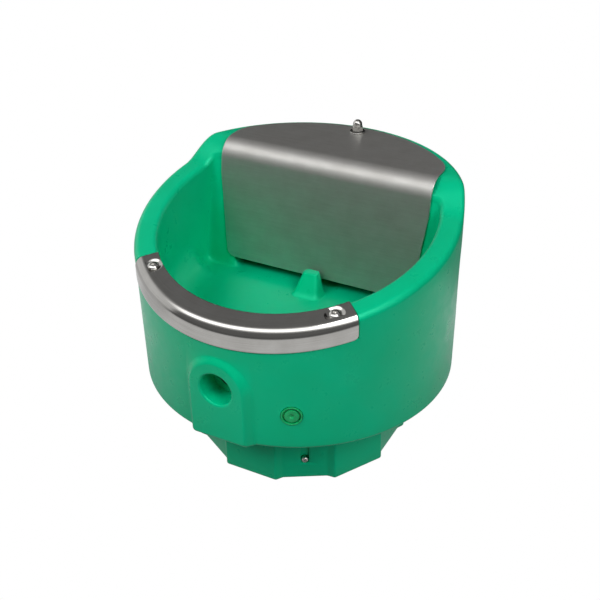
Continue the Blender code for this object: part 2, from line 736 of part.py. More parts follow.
def make_lip_guard(material):
    """Stainless sheet bent over the front of the rim, with a pressed dimple for each screw."""
    span = math.radians(GUARD_HALF_DEG) * BOWL_R
    step = math.radians(GUARD_HALF_DEG + SEAT_EDGE_DEG) / COLUMNS[0] * BOWL_R
    corner = [GUARD_CORNER_R * share for share in (0.0, 0.08, 0.3, 0.6, 1.0)]
    plain = [span - step * i for i in range(COLUMNS[0] - 1, -1, -1)]
    stations = [(math.degrees(d / BOWL_R) - GUARD_HALF_DEG, d) for d in corner + plain]
    stations += [(-turn, d) for turn, d in reversed(stations[:-1])]
    rings = [guard_section(turn, d) for turn, d in stations]
    guard = loft("lip_guard", rings, material)
    outer = GUARD_DIMPLE_R + MM
    thin = 0.1 * MM
    hole = GUARD_SCREW_SHANK_R + FIT
    low = -GUARD_DIMPLE_DEPTH
    for frame in guard_screw_frames():
        cut(guard, rod("opening", GUARD_DIMPLE_R, -4 * MM, MM, frame, 18))
        profile = [(outer, -thin), (GUARD_DIMPLE_R - MM, -thin), (GUARD_DIMPLE_R - 3 * MM, low), (hole, low),
                   (hole, low - GUARD_SHEET), (GUARD_DIMPLE_R - 2 * MM, low - GUARD_SHEET),
                   (outer, thin - GUARD_SHEET)]
        join(guard, turned_ring("dimple", profile, frame, 18))
    return guard


def button_screw(name, frame, seat, head_r, head_h, shank_r, length, material):
    """Button-head screw with a driver socket, its head standing on a seat along the frame."""
    top = seat + head_h
    profile = [(0, top - SOCKET_DEPTH), (SOCKET_R, top - SOCKET_DEPTH), (SOCKET_R, top),
               (head_r * 0.55, top), (head_r * 0.85, seat + head_h * 0.6), (head_r, seat + head_h * 0.15),
               (head_r, seat), (shank_r, seat), (shank_r, seat - length), (0, seat - length)]
    return turned(name, profile, frame, 14, material)


def insert_cup(name, frame, top, radius, bore, length, material):
    """Blind moulded-in nut whose mouth lies at a height along the frame."""
    floor = 2 * MM
    profile = [(0, top - length), (radius, top - length), (radius, top), (bore, top),
               (bore, top - length + floor), (0, top - length + floor)]
    return turned(name, profile, frame, 12, material, phase=0.5)


def make_guard_fixings(screw_material, insert_material):
    for side, frame in zip(("left", "right"), guard_screw_frames()):
        button_screw("lip_guard_screw_" + side, frame, FIT - GUARD_DIMPLE_DEPTH, GUARD_SCREW_HEAD_R,
                     GUARD_SCREW_HEAD_H, GUARD_SCREW_SHANK_R, GUARD_SCREW_L, screw_material)
        insert_cup("lip_guard_insert_" + side, frame, -screw_pocket_depth(), INSERT_R,
                   GUARD_SCREW_SHANK_R + FIT, INSERT_L, insert_material)


def make_base_fixings(screw_material, insert_material):
    for number, frame in enumerate(base_screw_frames(), start=1):
        shank = BASE_SCREW_L - BASE_SCREW_HEAD_H
        button_screw("base_screw_%d" % number, frame, FIT - BASE_SLOT_DEPTH, BASE_SCREW_HEAD_R,
                     BASE_SCREW_HEAD_H, BASE_SCREW_SHANK_R, shank, screw_material)
        insert_cup("base_insert_%d" % number, frame, -BASE_SLOT_DEPTH, BASE_INSERT_R,
                   BASE_SCREW_SHANK_R + FIT, shank + 4 * MM - FIT, insert_material)


def cover_stations():
    """(outer y, outer z, inner y, inner z, half width) down the cover, from its back to its lower edge."""
    top = COVER_Z + COVER_SHEET
    lean = math.atan(PLATE_LEAN)
    centre_y, centre_z = bend_centre()
    widest = math.asin(plate_half_width(RIM_CENTRE_Z) / COVER_R)
    stations = []
    for share in (0.03, 0.1, 0.2, 0.35, 0.5, 0.65, 0.82, 1.0):
        y = COVER_R * math.cos(widest * share)
        stations.append((y, top, y, COVER_Z, COVER_R * math.sin(widest * share)))
    sweep = math.pi / 2 - lean
    for i in range(COVER_BEND_STEPS + 1):
        turn = math.pi / 2 + sweep * i / COVER_BEND_STEPS
        inner = COVER_BEND_R - COVER_SHEET
        outer_z = centre_z + COVER_BEND_R * math.sin(turn)
        stations.append((centre_y + COVER_BEND_R * math.cos(turn), outer_z,
                         centre_y + inner * math.cos(turn), centre_z + inner * math.sin(turn),
                         plate_half_width(outer_z)))
    back = COVER_SHEET / math.cos(lean)
    for swing in (0, 25, 50, 75, 90):
        turn = math.radians(swing)
        z = PLATE_BOTTOM_Z + PLATE_CORNER_R * (1 - math.sin(turn))
        half = plate_half_width(z) - PLATE_CORNER_R * (1 - math.cos(turn))
        stations.append((plate_y(z), z, plate_y(z) + back, z, half))
    return stations


def make_valve_cover(material):
    """Stainless cover: a flat top clipped from a circle, a bend, and a plate that leans and tapers."""
    rings = []
    for outer_y, outer_z, inner_y, inner_z, half in cover_stations():
        rings.append([Vector((-half, outer_y, outer_z)), Vector((half, outer_y, outer_z)),
                      Vector((half, inner_y, inner_z)), Vector((-half, inner_y, inner_z))])
    cover = loft("valve_cover", rings, material)
    top = place((0, STUD_Y, COVER_Z))
    cut(cover, rod("stud_hole", STUD_R + FIT, -MM, COVER_SHEET + MM, top))
    return cover


def make_cover_fixings(steel, bright, brass):
    """Stud and its moulded-in nut, and the washer and dome nut that hold the cover."""
    frame = place((0, STUD_Y, BACK_Z))
    on_sheet = FIT + COVER_SHEET + FIT
    nut = on_sheet + WASHER_T + FIT
    stud_top = nut + NUT_HEX_H
    turned("cover_stud", [(0, -STUD_IN_INSERT), (STUD_R - MM, -STUD_IN_INSERT),
                                 (STUD_R, MM - STUD_IN_INSERT), (STUD_R, stud_top), (0, stud_top)],
                  frame, 16, steel)
    insert_cup("cover_stud_insert", frame, 0.0, INSERT_R, STUD_R + FIT, STUD_IN_INSERT + 2 * MM + FIT, brass)
    bore = STUD_R + FIT
    flat = [(bore, on_sheet), (WASHER_R, on_sheet), (WASHER_R, on_sheet + WASHER_T),
            (bore, on_sheet + WASHER_T)]
    washer = turned_ring("cover_washer", flat, frame, 20, steel)
    inside = stud_top + FIT
    dome = NUT_DOME_R - 0.3 * MM
    shoulder = nut + NUT_DOME_H - dome
    nut_body = turned("cover_dome_nut", [(bore, nut), (NUT_FLAT_R / math.cos(math.pi / 6), nut),
                                         (NUT_FLAT_R / math.cos(math.pi / 6), nut + NUT_HEX_H),
                                         (bore, nut + NUT_HEX_H)], frame, 6, bright)
    rings = [(dome, nut + NUT_HEX_H - 2 * MM), (dome, shoulder)]
    rings += [(dome * math.cos(math.radians(a)), shoulder + dome * math.sin(math.radians(a)))
              for a in (30, 60)]
    rings += [(0, shoulder + dome)]
    join(nut_body, turned("dome", rings, frame, 16))
    cut(nut_body, rod("thread", bore, nut - MM, inside, frame, 16))
    return washer, nut_body


def make_inlet(brass, rubber):
    """Threaded inlet through the floor, with its flange on a gasket and a locknut below."""
    frame = place((INLET_X, INLET_Y, 0))
    gasket = FLOOR_Z + FIT
    flange = gasket + GASKET_T + FIT
    top = VALVE_BASE_Z + TAIL_IN_VALVE
    low = FOOT_CEILING_Z - TAIL_BELOW
    tail = [(TAIL_BORE_R, low), (TAIL_R - MM, low), (TAIL_R, low + MM), (TAIL_R, flange),
            (TAIL_FLANGE_R, flange), (TAIL_FLANGE_R, flange + TAIL_FLANGE_T),
            (TAIL_R, flange + TAIL_FLANGE_T), (TAIL_R, top), (TAIL_BORE_R, top)]
    turned_ring("inlet_tail", tail, frame, 20, brass)
    bore = TAIL_R + FIT
    ring = [(bore, gasket), (TAIL_FLANGE_R, gasket), (TAIL_FLANGE_R, gasket + GASKET_T),
            (bore, gasket + GASKET_T)]
    turned_ring("inlet_gasket", ring, frame, 20, rubber)
    locknut("inlet_locknut", frame, bore, LOCKNUT_FLAT_R, brass)


def locknut(name, frame, bore, flat_r, material):
    """Flat six-sided nut tight under the foot's ceiling."""
    corner = flat_r / math.cos(math.pi / 6)
    top = FOOT_CEILING_Z - FIT
    nut = turned(name, [(corner, top - LOCKNUT_H), (corner, top)], frame, 6, material)
    cut(nut, rod("thread", bore, top - LOCKNUT_H - MM, top + MM, frame, 20))
    return nut


def barrel_frame():
    """Valve barrel's axis: local +Z points along +X, and local heights are world x."""
    return place((0, INLET_Y, BARREL_Z), (1, 0, 0))


def make_valve_body(material):
    """Brass valve: a socket over the inlet, a barrel along +X and two ears for the lever's pin."""
    frame = place((INLET_X, INLET_Y, 0))
    top = VALVE_BASE_Z + VALVE_SOCKET_H
    body = turned("valve_body", [(VALVE_SOCKET_R, VALVE_BASE_Z), (VALVE_SOCKET_R, top - 2 * MM),
                                 (VALVE_SOCKET_R - 2 * MM, top)], frame, 20, material)
    barrel = barrel_frame()
    join(body, rod("barrel", BARREL_R, INLET_X - 8 * MM, BARREL_END_X, barrel, 20))
    for side in (-1, 1):
        near = side * EAR_GAP / 2
        far = side * (EAR_GAP / 2 + EAR_T)
        outline = [(BARREL_END_X - 8 * MM, BARREL_Z + 4 * MM), (BARREL_END_X - 8 * MM, PIN_Z - EAR_ROUND),
                   (PIN_X, PIN_Z - EAR_ROUND), (PIN_X + EAR_ROUND, PIN_Z), (PIN_X + EAR_ROUND, PIN_Z + 2 * MM),
                   (BARREL_END_X, BARREL_Z + 4 * MM)]
        rings = [[Vector((x, INLET_Y + y, z)) for x, z in outline] for y in sorted((near, far))]
        join(body, loft("ear", rings))
    cut(body, rod("inlet_bore", TAIL_R + FIT, VALVE_BASE_Z - MM, VALVE_BASE_Z + TAIL_IN_VALVE + FIT, frame, 20))
    cut(body, rod("barrel_bore", PISTON_R + RUN, INLET_X, BARREL_END_X + MM, barrel, 16))
    cut(body, rod("feed", NOZZLE_BORE_R, VALVE_BASE_Z + TAIL_IN_VALVE - MM, BARREL_Z, frame, 12))
    cut(body, rod("spout", SPOUT_R, VALVE_BASE_Z, BARREL_Z, place((SPOUT_X, INLET_Y, 0)), 12))
    pin = place((PIN_X, INLET_Y, PIN_Z), (0, 1, 0))
    cut(body, rod("pin_hole", PIN_R + FIT, -20 * MM, 20 * MM, pin, 12))
    return body


def make_valve_inside(nozzle_material, piston_material, rubber):
    """Seat insert, piston and its seal, along the barrel."""
    frame = barrel_frame()
    start = INLET_X + NOZZLE_START
    nozzle = [(NOZZLE_BORE_R, start), (PISTON_R, start), (PISTON_R, start + NOZZLE_L - MM),
              (NOZZLE_BORE_R + MM, start + NOZZLE_L), (NOZZLE_BORE_R, start + NOZZLE_L)]
    turned_ring("valve_nozzle", nozzle, frame, 16, nozzle_material)
    face = start + NOZZLE_L + PISTON_TRAVEL + 2 * FIT
    seal = rod("piston_seal", PISTON_R - MM, face, face + SEAL_T, frame, 16, rubber)
    end = PIN_X - LEVER_T / 2 - 2 * FIT
    piston = rod("valve_piston", PISTON_R, face + SEAL_T + FIT, end, frame, 16, piston_material)
    hang_on("piston_slide", (face, INLET_Y, BARREL_Z), piston, seal)


def make_float_arm(material):
    """Lever on the valve's pin: a hub, a short leg up to the piston and a bent rod out to the float."""
    pin = place((PIN_X, INLET_Y, PIN_Z), (0, 1, 0))
    half = EAR_GAP / 2 - RUN
    arm = rod("float_arm", HUB_R, -half, half, pin, 16, material)
    leg_top = BARREL_Z + LEVER_PAST
    leg = [(PIN_X - LEVER_T / 2, PIN_Z), (PIN_X + LEVER_T / 2, PIN_Z),
           (PIN_X + LEVER_T / 2, leg_top), (PIN_X - LEVER_T / 2, leg_top)]
    rings = [[Vector((x, INLET_Y + y, z)) for x, z in leg] for y in (MM - half, half - MM)]
    join(arm, loft("leg", rings))
    float_top = FLOAT_Z + FLOAT_H / 2
    elbow = Vector((FLOAT_X, FLOAT_Y, float_top + ROD_ABOVE))
    start = Vector((PIN_X + HUB_R / 2, INLET_Y, PIN_Z - HUB_R / 2))
    knee = Vector((PIN_X + 22 * MM, INLET_Y + 4 * MM, elbow.z))
    for near, far in ((start, knee), (knee, elbow)):
        run = far - near
        join(arm, rod("rod", ROD_R, 0.0, run.length + ROD_R * 0.5, place(near, run), 10))
    stem = place((FLOAT_X, FLOAT_Y, 0))
    join(arm, rod("stem", STEM_R, FLOAT_Z - FLOAT_H / 2 + STEM_FLOOR, elbow.z + STEM_ABOVE, stem, 10))
    cut(arm, rod("pin_hole", PIN_R + FIT, -half - MM, half + MM, pin, 12))
    return arm


def make_float_arm_pin(material):
    """Headed hinge pin through the valve's ears and the lever's hub."""
    end = EAR_GAP / 2 + EAR_T + FIT
    profile = [(0, -end - PIN_HEAD_T), (PIN_HEAD_R, -end - PIN_HEAD_T), (PIN_HEAD_R, -end), (PIN_R, -end),
               (PIN_R, end + MM), (PIN_R - 0.5 * MM, end + 2 * MM), (0, end + 2 * MM)]
    return turned("float_arm_pin", profile, place((PIN_X, INLET_Y, PIN_Z), (0, 1, 0)), 12, material)


def make_float(float_material, nut_material):
    """Round-edged float screwed on the stem, and the nut that locks its height."""
    frame = place((FLOAT_X, FLOAT_Y, FLOAT_Z))
    high = FLOAT_H / 2
    swings = [math.radians(a) for a in (0, 30, 60, 90)]
    flat = FLOAT_R - FLOAT_ROUND
    top = [(flat + FLOAT_ROUND * math.cos(a), high - FLOAT_ROUND + FLOAT_ROUND * math.sin(a)) for a in swings]
    low = [(radius, -height) for radius, height in reversed(top)]
    body = turned("float", [(0, -high), *low, *top, (0, high)], frame, 28, float_material)
    cut(body, rod("sleeve", STEM_R + FIT, STEM_FLOOR - FIT - high, high + MM, frame, 12))
    corner = FLOAT_NUT_R / math.cos(math.pi / 6)
    seat = high + FIT
    nut = turned("float_nut", [(corner, seat), (corner, seat + FLOAT_NUT_H)], frame, 6, nut_material)
    cut(nut, rod("thread", STEM_R + FIT, seat - MM, seat + FLOAT_NUT_H + MM, frame, 12))
    return body, nut


def element_leg(x, far_y, towards):
    """One leg: up out of the gland, over to the back, and round the corner towards -X."""
    low = FLOOR_Z + 3 * FIT + GASKET_T + GLAND_HEX_H
    corner = 5 * MM
    return [Vector((x, GLAND_Y, low)), Vector((x, GLAND_Y, ELEMENT_Z - corner)),
            Vector((x, GLAND_Y + corner * 0.3, ELEMENT_Z - corner * 0.3)), Vector((x, GLAND_Y + corner, ELEMENT_Z)),
            Vector((x, far_y - corner, ELEMENT_Z)), Vector((x - corner * 0.3, far_y - corner * 0.3, ELEMENT_Z)),
            Vector((x - towards, far_y, ELEMENT_Z))]


def element_route():
    """Hairpin of the heating tube: two legs out of the gland, joined by a half-round end."""
    middle = (ELEMENT_NEAR_Y + ELEMENT_FAR_Y) / 2
    bend = (ELEMENT_FAR_Y - ELEMENT_NEAR_Y) / 2
    turns = [math.radians(a) for a in range(0, 181, 30)]
    end = [Vector((ELEMENT_END_X - bend * math.sin(a), middle - bend * math.cos(a), ELEMENT_Z)) for a in turns]
    near = element_leg(GLAND_X - ELEMENT_LEG, ELEMENT_NEAR_Y, 5 * MM)
    far = element_leg(GLAND_X + ELEMENT_LEG, ELEMENT_FAR_Y, 5 * MM)
    return near + end + list(reversed(far))


def make_heating_element(material):
    """Sheathed tube element: one swept tube, bent to a hairpin."""
    curve = bpy.data.curves.new("heating_element", "CURVE")
    curve.dimensions = "3D"
    curve.bevel_depth = ELEMENT_R
    curve.bevel_resolution = 2
    curve.use_fill_caps = True
    spline = curve.splines.new("POLY")
    route = element_route()
    spline.points.add(len(route) - 1)
    for point, place_at in zip(spline.points, route):
        point.co = (*place_at, 1.0)
    curve.materials.append(material)
    element = bpy.data.objects.new("heating_element", curve)
    bpy.context.scene.collection.objects.link(element)
    return element


def make_heater_gland(steel, brass, rubber):
    """Threaded gland with a six-sided head on its gasket, and its locknut under the ceiling."""
    frame = place((GLAND_X, GLAND_Y, 0))
    gasket = FLOOR_Z + FIT
    seat = gasket + GASKET_T + FIT
    corner = GLAND_HEX_R / math.cos(math.pi / 6)
    gland = turned("heater_gland", [(corner, seat), (corner, seat + GLAND_HEX_H)], frame, 6, steel)
    low = FOOT_CEILING_Z - GLAND_BELOW
    join(gland, turned("shank", [(GLAND_R - MM, low), (GLAND_R, low + MM), (GLAND_R, seat + MM)], frame, 20))
    cut(gland, rod("cable_way", GLAND_CABLE_R, low - MM, seat - 2 * MM, frame, 12))
    ring = [(GLAND_R + FIT, gasket), (corner - MM, gasket), (corner - MM, gasket + GASKET_T),
            (GLAND_R + FIT, gasket + GASKET_T)]
    turned_ring("heater_gasket", ring, frame, 20, rubber)
    locknut("heater_locknut", frame, GLAND_R + FIT, GLAND_HEX_R, brass)


def hang_on(name, at, *pieces):
    """Empty on a joint's axis, with the pieces that move about it parented to it."""
    pivot = bpy.data.objects.new(name, None)
    pivot.location = at
    bpy.context.scene.collection.objects.link(pivot)
    for piece in pieces:
        piece.parent = pivot
        piece.matrix_parent_inverse = Matrix.Translation(-Vector(at))


def clear_scene():
    for obj in list(bpy.data.objects):
        bpy.data.objects.remove(obj)


def build():
    clear_scene()
    green = make_material("green_polyethylene", (0.0, 0.34, 0.15), 0.42)
    brushed = make_material("brushed_stainless", (0.55, 0.55, 0.54), 0.34, 1.0)
    bright = make_material("bright_stainless", (0.70, 0.70, 0.69), 0.16, 1.0)
    brass = make_material("brass", (0.72, 0.52, 0.22), 0.3, 1.0)
    black = make_material("black_rubber", (0.02, 0.02, 0.02), 0.6)
    white = make_material("white_acetal", (0.85, 0.85, 0.82), 0.4)
    blue = make_material("blue_float_plastic", (0.03, 0.12, 0.42), 0.4)
    make_bowl_body(green)
    make_foam_plug(green)
    hang_on("drain_plug_slide", (0, WEB_BACK_Y, OUTLET_Z), make_drain_plug(black))
    make_lip_guard(brushed)
    make_guard_fixings(bright, brass)
    make_base_fixings(bright, brass)
    cover = make_valve_cover(brushed)
    hang_on("cover_slide", (0, STUD_Y, COVER_Z), cover, *make_cover_fixings(bright, bright, brass))
    make_inlet(brass, black)
    make_valve_body(brass)
    make_valve_inside(white, white, black)
    make_float_arm_pin(bright)
    hang_on("float_hinge", (PIN_X, INLET_Y, PIN_Z), make_float_arm(bright), *make_float(blue, white))
    make_heating_element(bright)
    make_heater_gland(bright, brass, black)


build()
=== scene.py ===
"""Dressed scene of a frost-proof livestock drinking bowl.

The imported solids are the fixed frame. Each class below makes one sub-assembly of the bowl at a
finer grain, in place, and gives it its finish. Sizes are in metres, with the origin on the bowl's
axis at the bottom of the foot, +Z up and the drinking side towards -Y.
"""

import json
import logging
import math
from dataclasses import dataclass
from enum import Enum
from typing import Iterable, Optional, Sequence, Union

import bmesh
import bpy
from mathutils import Matrix, Vector

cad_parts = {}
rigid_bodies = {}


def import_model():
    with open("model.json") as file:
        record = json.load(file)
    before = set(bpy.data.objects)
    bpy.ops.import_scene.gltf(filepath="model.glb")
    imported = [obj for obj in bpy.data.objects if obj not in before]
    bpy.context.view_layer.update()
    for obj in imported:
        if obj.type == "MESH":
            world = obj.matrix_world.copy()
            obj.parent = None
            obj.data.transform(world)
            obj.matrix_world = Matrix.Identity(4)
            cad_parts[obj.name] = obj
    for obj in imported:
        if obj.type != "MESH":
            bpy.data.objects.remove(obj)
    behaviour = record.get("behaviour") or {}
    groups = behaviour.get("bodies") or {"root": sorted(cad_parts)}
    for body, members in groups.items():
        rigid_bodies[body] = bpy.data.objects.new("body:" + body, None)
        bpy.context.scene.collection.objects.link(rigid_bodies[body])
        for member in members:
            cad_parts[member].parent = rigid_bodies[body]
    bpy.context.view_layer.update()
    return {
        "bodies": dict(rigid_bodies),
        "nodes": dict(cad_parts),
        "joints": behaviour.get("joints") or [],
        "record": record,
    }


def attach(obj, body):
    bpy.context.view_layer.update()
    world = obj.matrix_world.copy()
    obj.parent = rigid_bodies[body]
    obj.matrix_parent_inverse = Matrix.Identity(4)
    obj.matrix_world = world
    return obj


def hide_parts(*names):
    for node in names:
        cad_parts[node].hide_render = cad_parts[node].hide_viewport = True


BMesh = bmesh.types.BMesh
Material = bpy.types.Material
Object = bpy.types.Object
Socket = bpy.types.NodeSocket
Tree = bpy.types.NodeTree
Value = Union[float, Sequence[float], Socket]

LOG = logging.getLogger("drinking_bowl")
MM = 0.001
SIDE_SHARE = 0.45


# Shared helpers

def linear(hex_colour: str) -> tuple[float, float, float, float]:
    """Turns an sRGB hex colour to linear RGBA.

    Args:
        hex_colour: Six hex digits.

    Returns:
        Linear red, green, blue and an alpha of one.
    """
    values = [int(hex_colour[i:i + 2], 16) / 255 for i in (0, 2, 4)]
    red, green, blue = (v / 12.92 if v <= 0.04045 else ((v + 0.055) / 1.055) ** 2.4 for v in values)
    return (red, green, blue, 1.0)


def quarter(steps: int) -> list[float]:
    """Returns the angles of a quarter turn in radians, at even steps from 0."""
    return [math.pi / 2 * i / steps for i in range(steps + 1)]


def between(first: float, second: float, share: float) -> float:
    """Returns the value at a share of the way from the first to the second."""
    return first * (1 - share) + second * share


def polar(radius: float, degrees: float, z: float = 0.0) -> Vector:
    """Returns a point at an angle about the bowl's axis, measured from the front towards +X."""
    turn = math.radians(degrees)
    return Vector((radius * math.sin(turn), -radius * math.cos(turn), z))


def smooth_min(first: float, second: float, reach: float) -> float:
    """Returns the smaller value, with the corner between the two rounded over the reach."""
    share = max(reach - abs(first - second), 0.0) / reach
    return min(first, second) - share * share * reach / 4


def smooth_max(first: float, second: float, reach: float) -> float:
    """Returns the larger value, with the corner between the two rounded over the reach."""
    return -smooth_min(-first, -second, reach)


def ease(value: float, low: float, high: float) -> float:
    """Returns a smooth step from 0 at low to 1 at high."""
    t = min(max((value - low) / (high - low), 0.0), 1.0)
    return t * t * (3 - 2 * t)


def place(at: Sequence[float], towards: Sequence[float] = (0, 0, 1)) -> Matrix:
    """Returns a matrix that stands local +Z along a direction at a point."""
    turn = Vector(towards).to_track_quat("Z", "Y").to_matrix().to_4x4()
    return Matrix.Translation(Vector(at)) @ turn


def new_object(name: str, bm: BMesh, angle: float = 35.0) -> Object:
    """Writes a bmesh to a linked object, smooth but for edges sharper than an angle.

    Args:
        name: Name of the object and its mesh.
        bm: Mesh to write, freed here.
        angle: Largest smooth edge angle in degrees.

    Returns:
        The new object, at the origin.
    """
    mesh = bpy.data.meshes.new(name)
    bm.to_mesh(mesh)
    bm.free()
    obj = bpy.data.objects.new(name, mesh)
    bpy.context.scene.collection.objects.link(obj)
    smooth(obj, angle)
    return obj


def join_rows(bm: BMesh, rows: Sequence[Sequence[bmesh.types.BMVert]]) -> None:
    """Joins each row of vertices to the next with faces. A row of one vertex is a tip."""
    for lower, upper in zip(rows, rows[1:]):
        count = max(len(lower), len(upper))
        for i in range(count):
            j = (i + 1) % count
            if len(lower) == 1:
                bm.faces.new((lower[0], upper[j], upper[i]))
            elif len(upper) == 1:
                bm.faces.new((lower[i], lower[j], upper[0]))
            else:
                bm.faces.new((lower[i], lower[j], upper[j], upper[i]))


def loft(name: str, rings: Iterable[Sequence[Vector]], closed: bool = False,
         angle: float = 35.0) -> Object:
    """Makes a closed solid through rings of points.

    Args:
        name: Name of the object.
        rings: Rings of equal length. A ring of one point is a tip.
        closed: True where the last ring joins the first.
        angle: Largest smooth edge angle in degrees.

    Returns:
        The new object with outward faces.
    """
    bm = bmesh.new()
    rows = [[bm.verts.new(point) for point in ring] for ring in rings]
    if closed:
        rows.append(rows[0])
    join_rows(bm, rows)
    for row in (rows[0], rows[-1]):
        if len(row) > 2 and not closed:
            bm.faces.new(row)
    bmesh.ops.recalc_face_normals(bm, faces=bm.faces)
    return new_object(name, bm, angle)


def turned(name: str, profile: Sequence[tuple[float, float]], matrix: Matrix, sides: int = 64,
           closed: bool = False, angle: float = 35.0) -> Object:
    """Makes a turned solid.

    Args:
        name: Name of the object.
        profile: (radius, height) points. A radius of zero at an end is a tip.
        matrix: Places local +Z and the origin of the profile.
        sides: Number of sides round.
        closed: True for a ring whose profile stays off the axis.
        angle: Largest smooth edge angle in degrees.

    Returns:
        The new object.
    """
    turns = [2 * math.pi * i / sides for i in range(sides)]
    rings = []
    for radius, z in profile:
        ring = [(radius * math.cos(a), radius * math.sin(a), z) for a in turns]
        rings.append([matrix @ Vector(point) for point in (ring if radius > 0 else [(0, 0, z)])])
    return loft(name, rings, closed, angle)


def rod(name: str, radius: float, low: float, high: float, matrix: Matrix,
        sides: int) -> Object:
    """Makes a plain rod between two heights."""
    return turned(name, [(0, low), (radius, low), (radius, high), (0, high)], matrix, sides)


def rounded(points: Sequence[tuple[float, float]], radius: float, steps: int = 4,
            ends: bool = False) -> list[tuple[float, float]]:
    """Rounds the corners of a profile with short arcs.

    Args:
        points: Corners of the profile.
        radius: Rounding, held to a share of the shorter side.
        steps: Pieces in each arc.
        ends: True where the profile is a loop, so that its first and last points are corners too.

    Returns:
        The profile with its corners rounded.
    """
    result: list[tuple[float, float]] = []
    count = len(points)
    for i, corner in enumerate(points):
        if not ends and i in (0, count - 1):
            result.append(corner)
            continue
        here = Vector(corner)
        before = Vector(points[i - 1]) - here
        after = Vector(points[(i + 1) % count]) - here
        reach = min(radius, before.length * SIDE_SHARE, after.length * SIDE_SHARE)
        start = here + before.normalized() * reach
        stop = here + after.normalized() * reach
        for k in range(steps + 1):
            t = k / steps
            point = start * (1 - t) ** 2 + here * 2 * t * (1 - t) + stop * t * t
            result.append((point.x, point.y))
    return result


def apply_modifiers(obj: Object) -> None:
    """Replaces a mesh object's data by its evaluated mesh and clears its modifiers."""
    bpy.context.view_layer.update()
    graph = bpy.context.evaluated_depsgraph_get()
    mesh = bpy.data.meshes.new_from_object(obj.evaluated_get(graph))
    obj.modifiers.clear()
    old = obj.data
    obj.data = mesh
    bpy.data.meshes.remove(old)


def discard(obj: Object) -> None:
    """Removes a mesh object that has been used up."""
    used = obj.data
    bpy.data.objects.remove(obj)
    bpy.data.meshes.remove(used)


def combine(target: Object, tool: Object, operation: str) -> None:
    """Joins, cuts or intersects a solid with a tool, which is used up.

    Args:
        target: Solid that is changed.
        tool: Solid that is removed afterwards.
        operation: UNION, DIFFERENCE or INTERSECT.
    """
    modifier = target.modifiers.new("combine", "BOOLEAN")
    modifier.operation = operation
    modifier.solver = "EXACT"
    modifier.object = tool
    apply_modifiers(target)
    discard(tool)


def smooth(obj: Object, angle: float) -> None:
    """Smooths a mesh but for edges sharper than an angle in degrees."""
    obj.data.shade_smooth()
    obj.data.set_sharp_from_angle(angle=math.radians(angle))


def soften(obj: Object, width: float, segments: int = 2, angle: float = 35.0) -> None:
    """Bevels a solid's sharp edges and applies the result."""
    modifier = obj.modifiers.new("edges", "BEVEL")
    modifier.width = width
    modifier.segments = segments
    modifier.limit_method = "ANGLE"
    modifier.angle_limit = math.radians(angle)
    modifier.harden_normals = True
    apply_modifiers(obj)


def dress(obj: Object, body: str, finish: "Finish", *nodes: str) -> None:
    """Gives a finished piece its finish and body, and hides the CAD nodes that it stands for.

    Args:
        obj: The finished piece.
        body: Body that it rides on.
        finish: Finish of the whole piece, whose material it gets.
        *nodes: CAD nodes that it replaces.
    """
    obj.data.materials.clear()
    obj.data.materials.append(finish.material())
    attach(obj, body)
    finish.slot
    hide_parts(*nodes)
    LOG.info("%s: %d faces on %s", obj.name, len(obj.data.polygons), body)


# Finishes

def add(tree: Tree, kind: str, settings: Optional[dict] = None,
        inputs: Optional[dict] = None) -> bpy.types.Node:
    """Adds a node with its settings, socket values and links.

    Args:
        tree: Node tree that gets the node.
        kind: Node type, such as ShaderNodeTexNoise.
        settings: Attribute name to value.
        inputs: Socket name or index to a value, or to the output socket it is linked from.

    Returns:
        The new node.
    """
    node = tree.nodes.new(kind)
    for name, value in (settings or {}).items():
        setattr(node, name, value)
    for name, value in (inputs or {}).items():
        if isinstance(value, Socket):
            tree.links.new(value, node.inputs[name])
        else:
            node.inputs[name].default_value = value
    return node


def ramp(tree: Tree, source: Socket,
         stops: Sequence[tuple[float, Sequence[float]]]) -> Socket:
    """Adds a colour ramp of (position, colour) stops and returns its colour socket."""
    node = add(tree, "ShaderNodeValToRGB", inputs={"Fac": source})
    points = node.color_ramp.elements
    while len(points) < len(stops):
        points.new(0.5)
    for point, (position, colour) in zip(points, stops):
        point.position = position
        point.color = colour
    return node.outputs["Color"]


def span(tree: Tree, source: Socket, low: float, high: float,
         start: float = 0.0, stop: float = 1.0) -> Socket:
    """Maps a socket's start to stop onto low to high and returns the result's socket."""
    return add(tree, "ShaderNodeMapRange", inputs={
        "Value": source, "From Min": start, "From Max": stop, "To Min": low, "To Max": high,
    }).outputs["Result"]


def mean(tree: Tree, share: float, first: Socket,
         second: Socket) -> Socket:
    """Mixes a share of the second value into the first and returns the result's socket."""
    return add(tree, "ShaderNodeMix", {"data_type": "FLOAT"},
               {"Factor": share, 2: first, 3: second}).outputs[0]


@dataclass(frozen=True)
class Noise:
    """Grain of a surface: its size, how many finer octaves it has, and their strength."""

    size: float
    detail: float
    roughness: float

    def socket(self, tree: Tree, at: Socket) -> Socket:
        """Adds the noise at a position socket and returns its value's socket."""
        return add(tree, "ShaderNodeTexNoise", inputs={
            "Vector": at, "Scale": 1 / self.size, "Detail": self.detail,
            "Roughness": self.roughness}).outputs["Fac"]


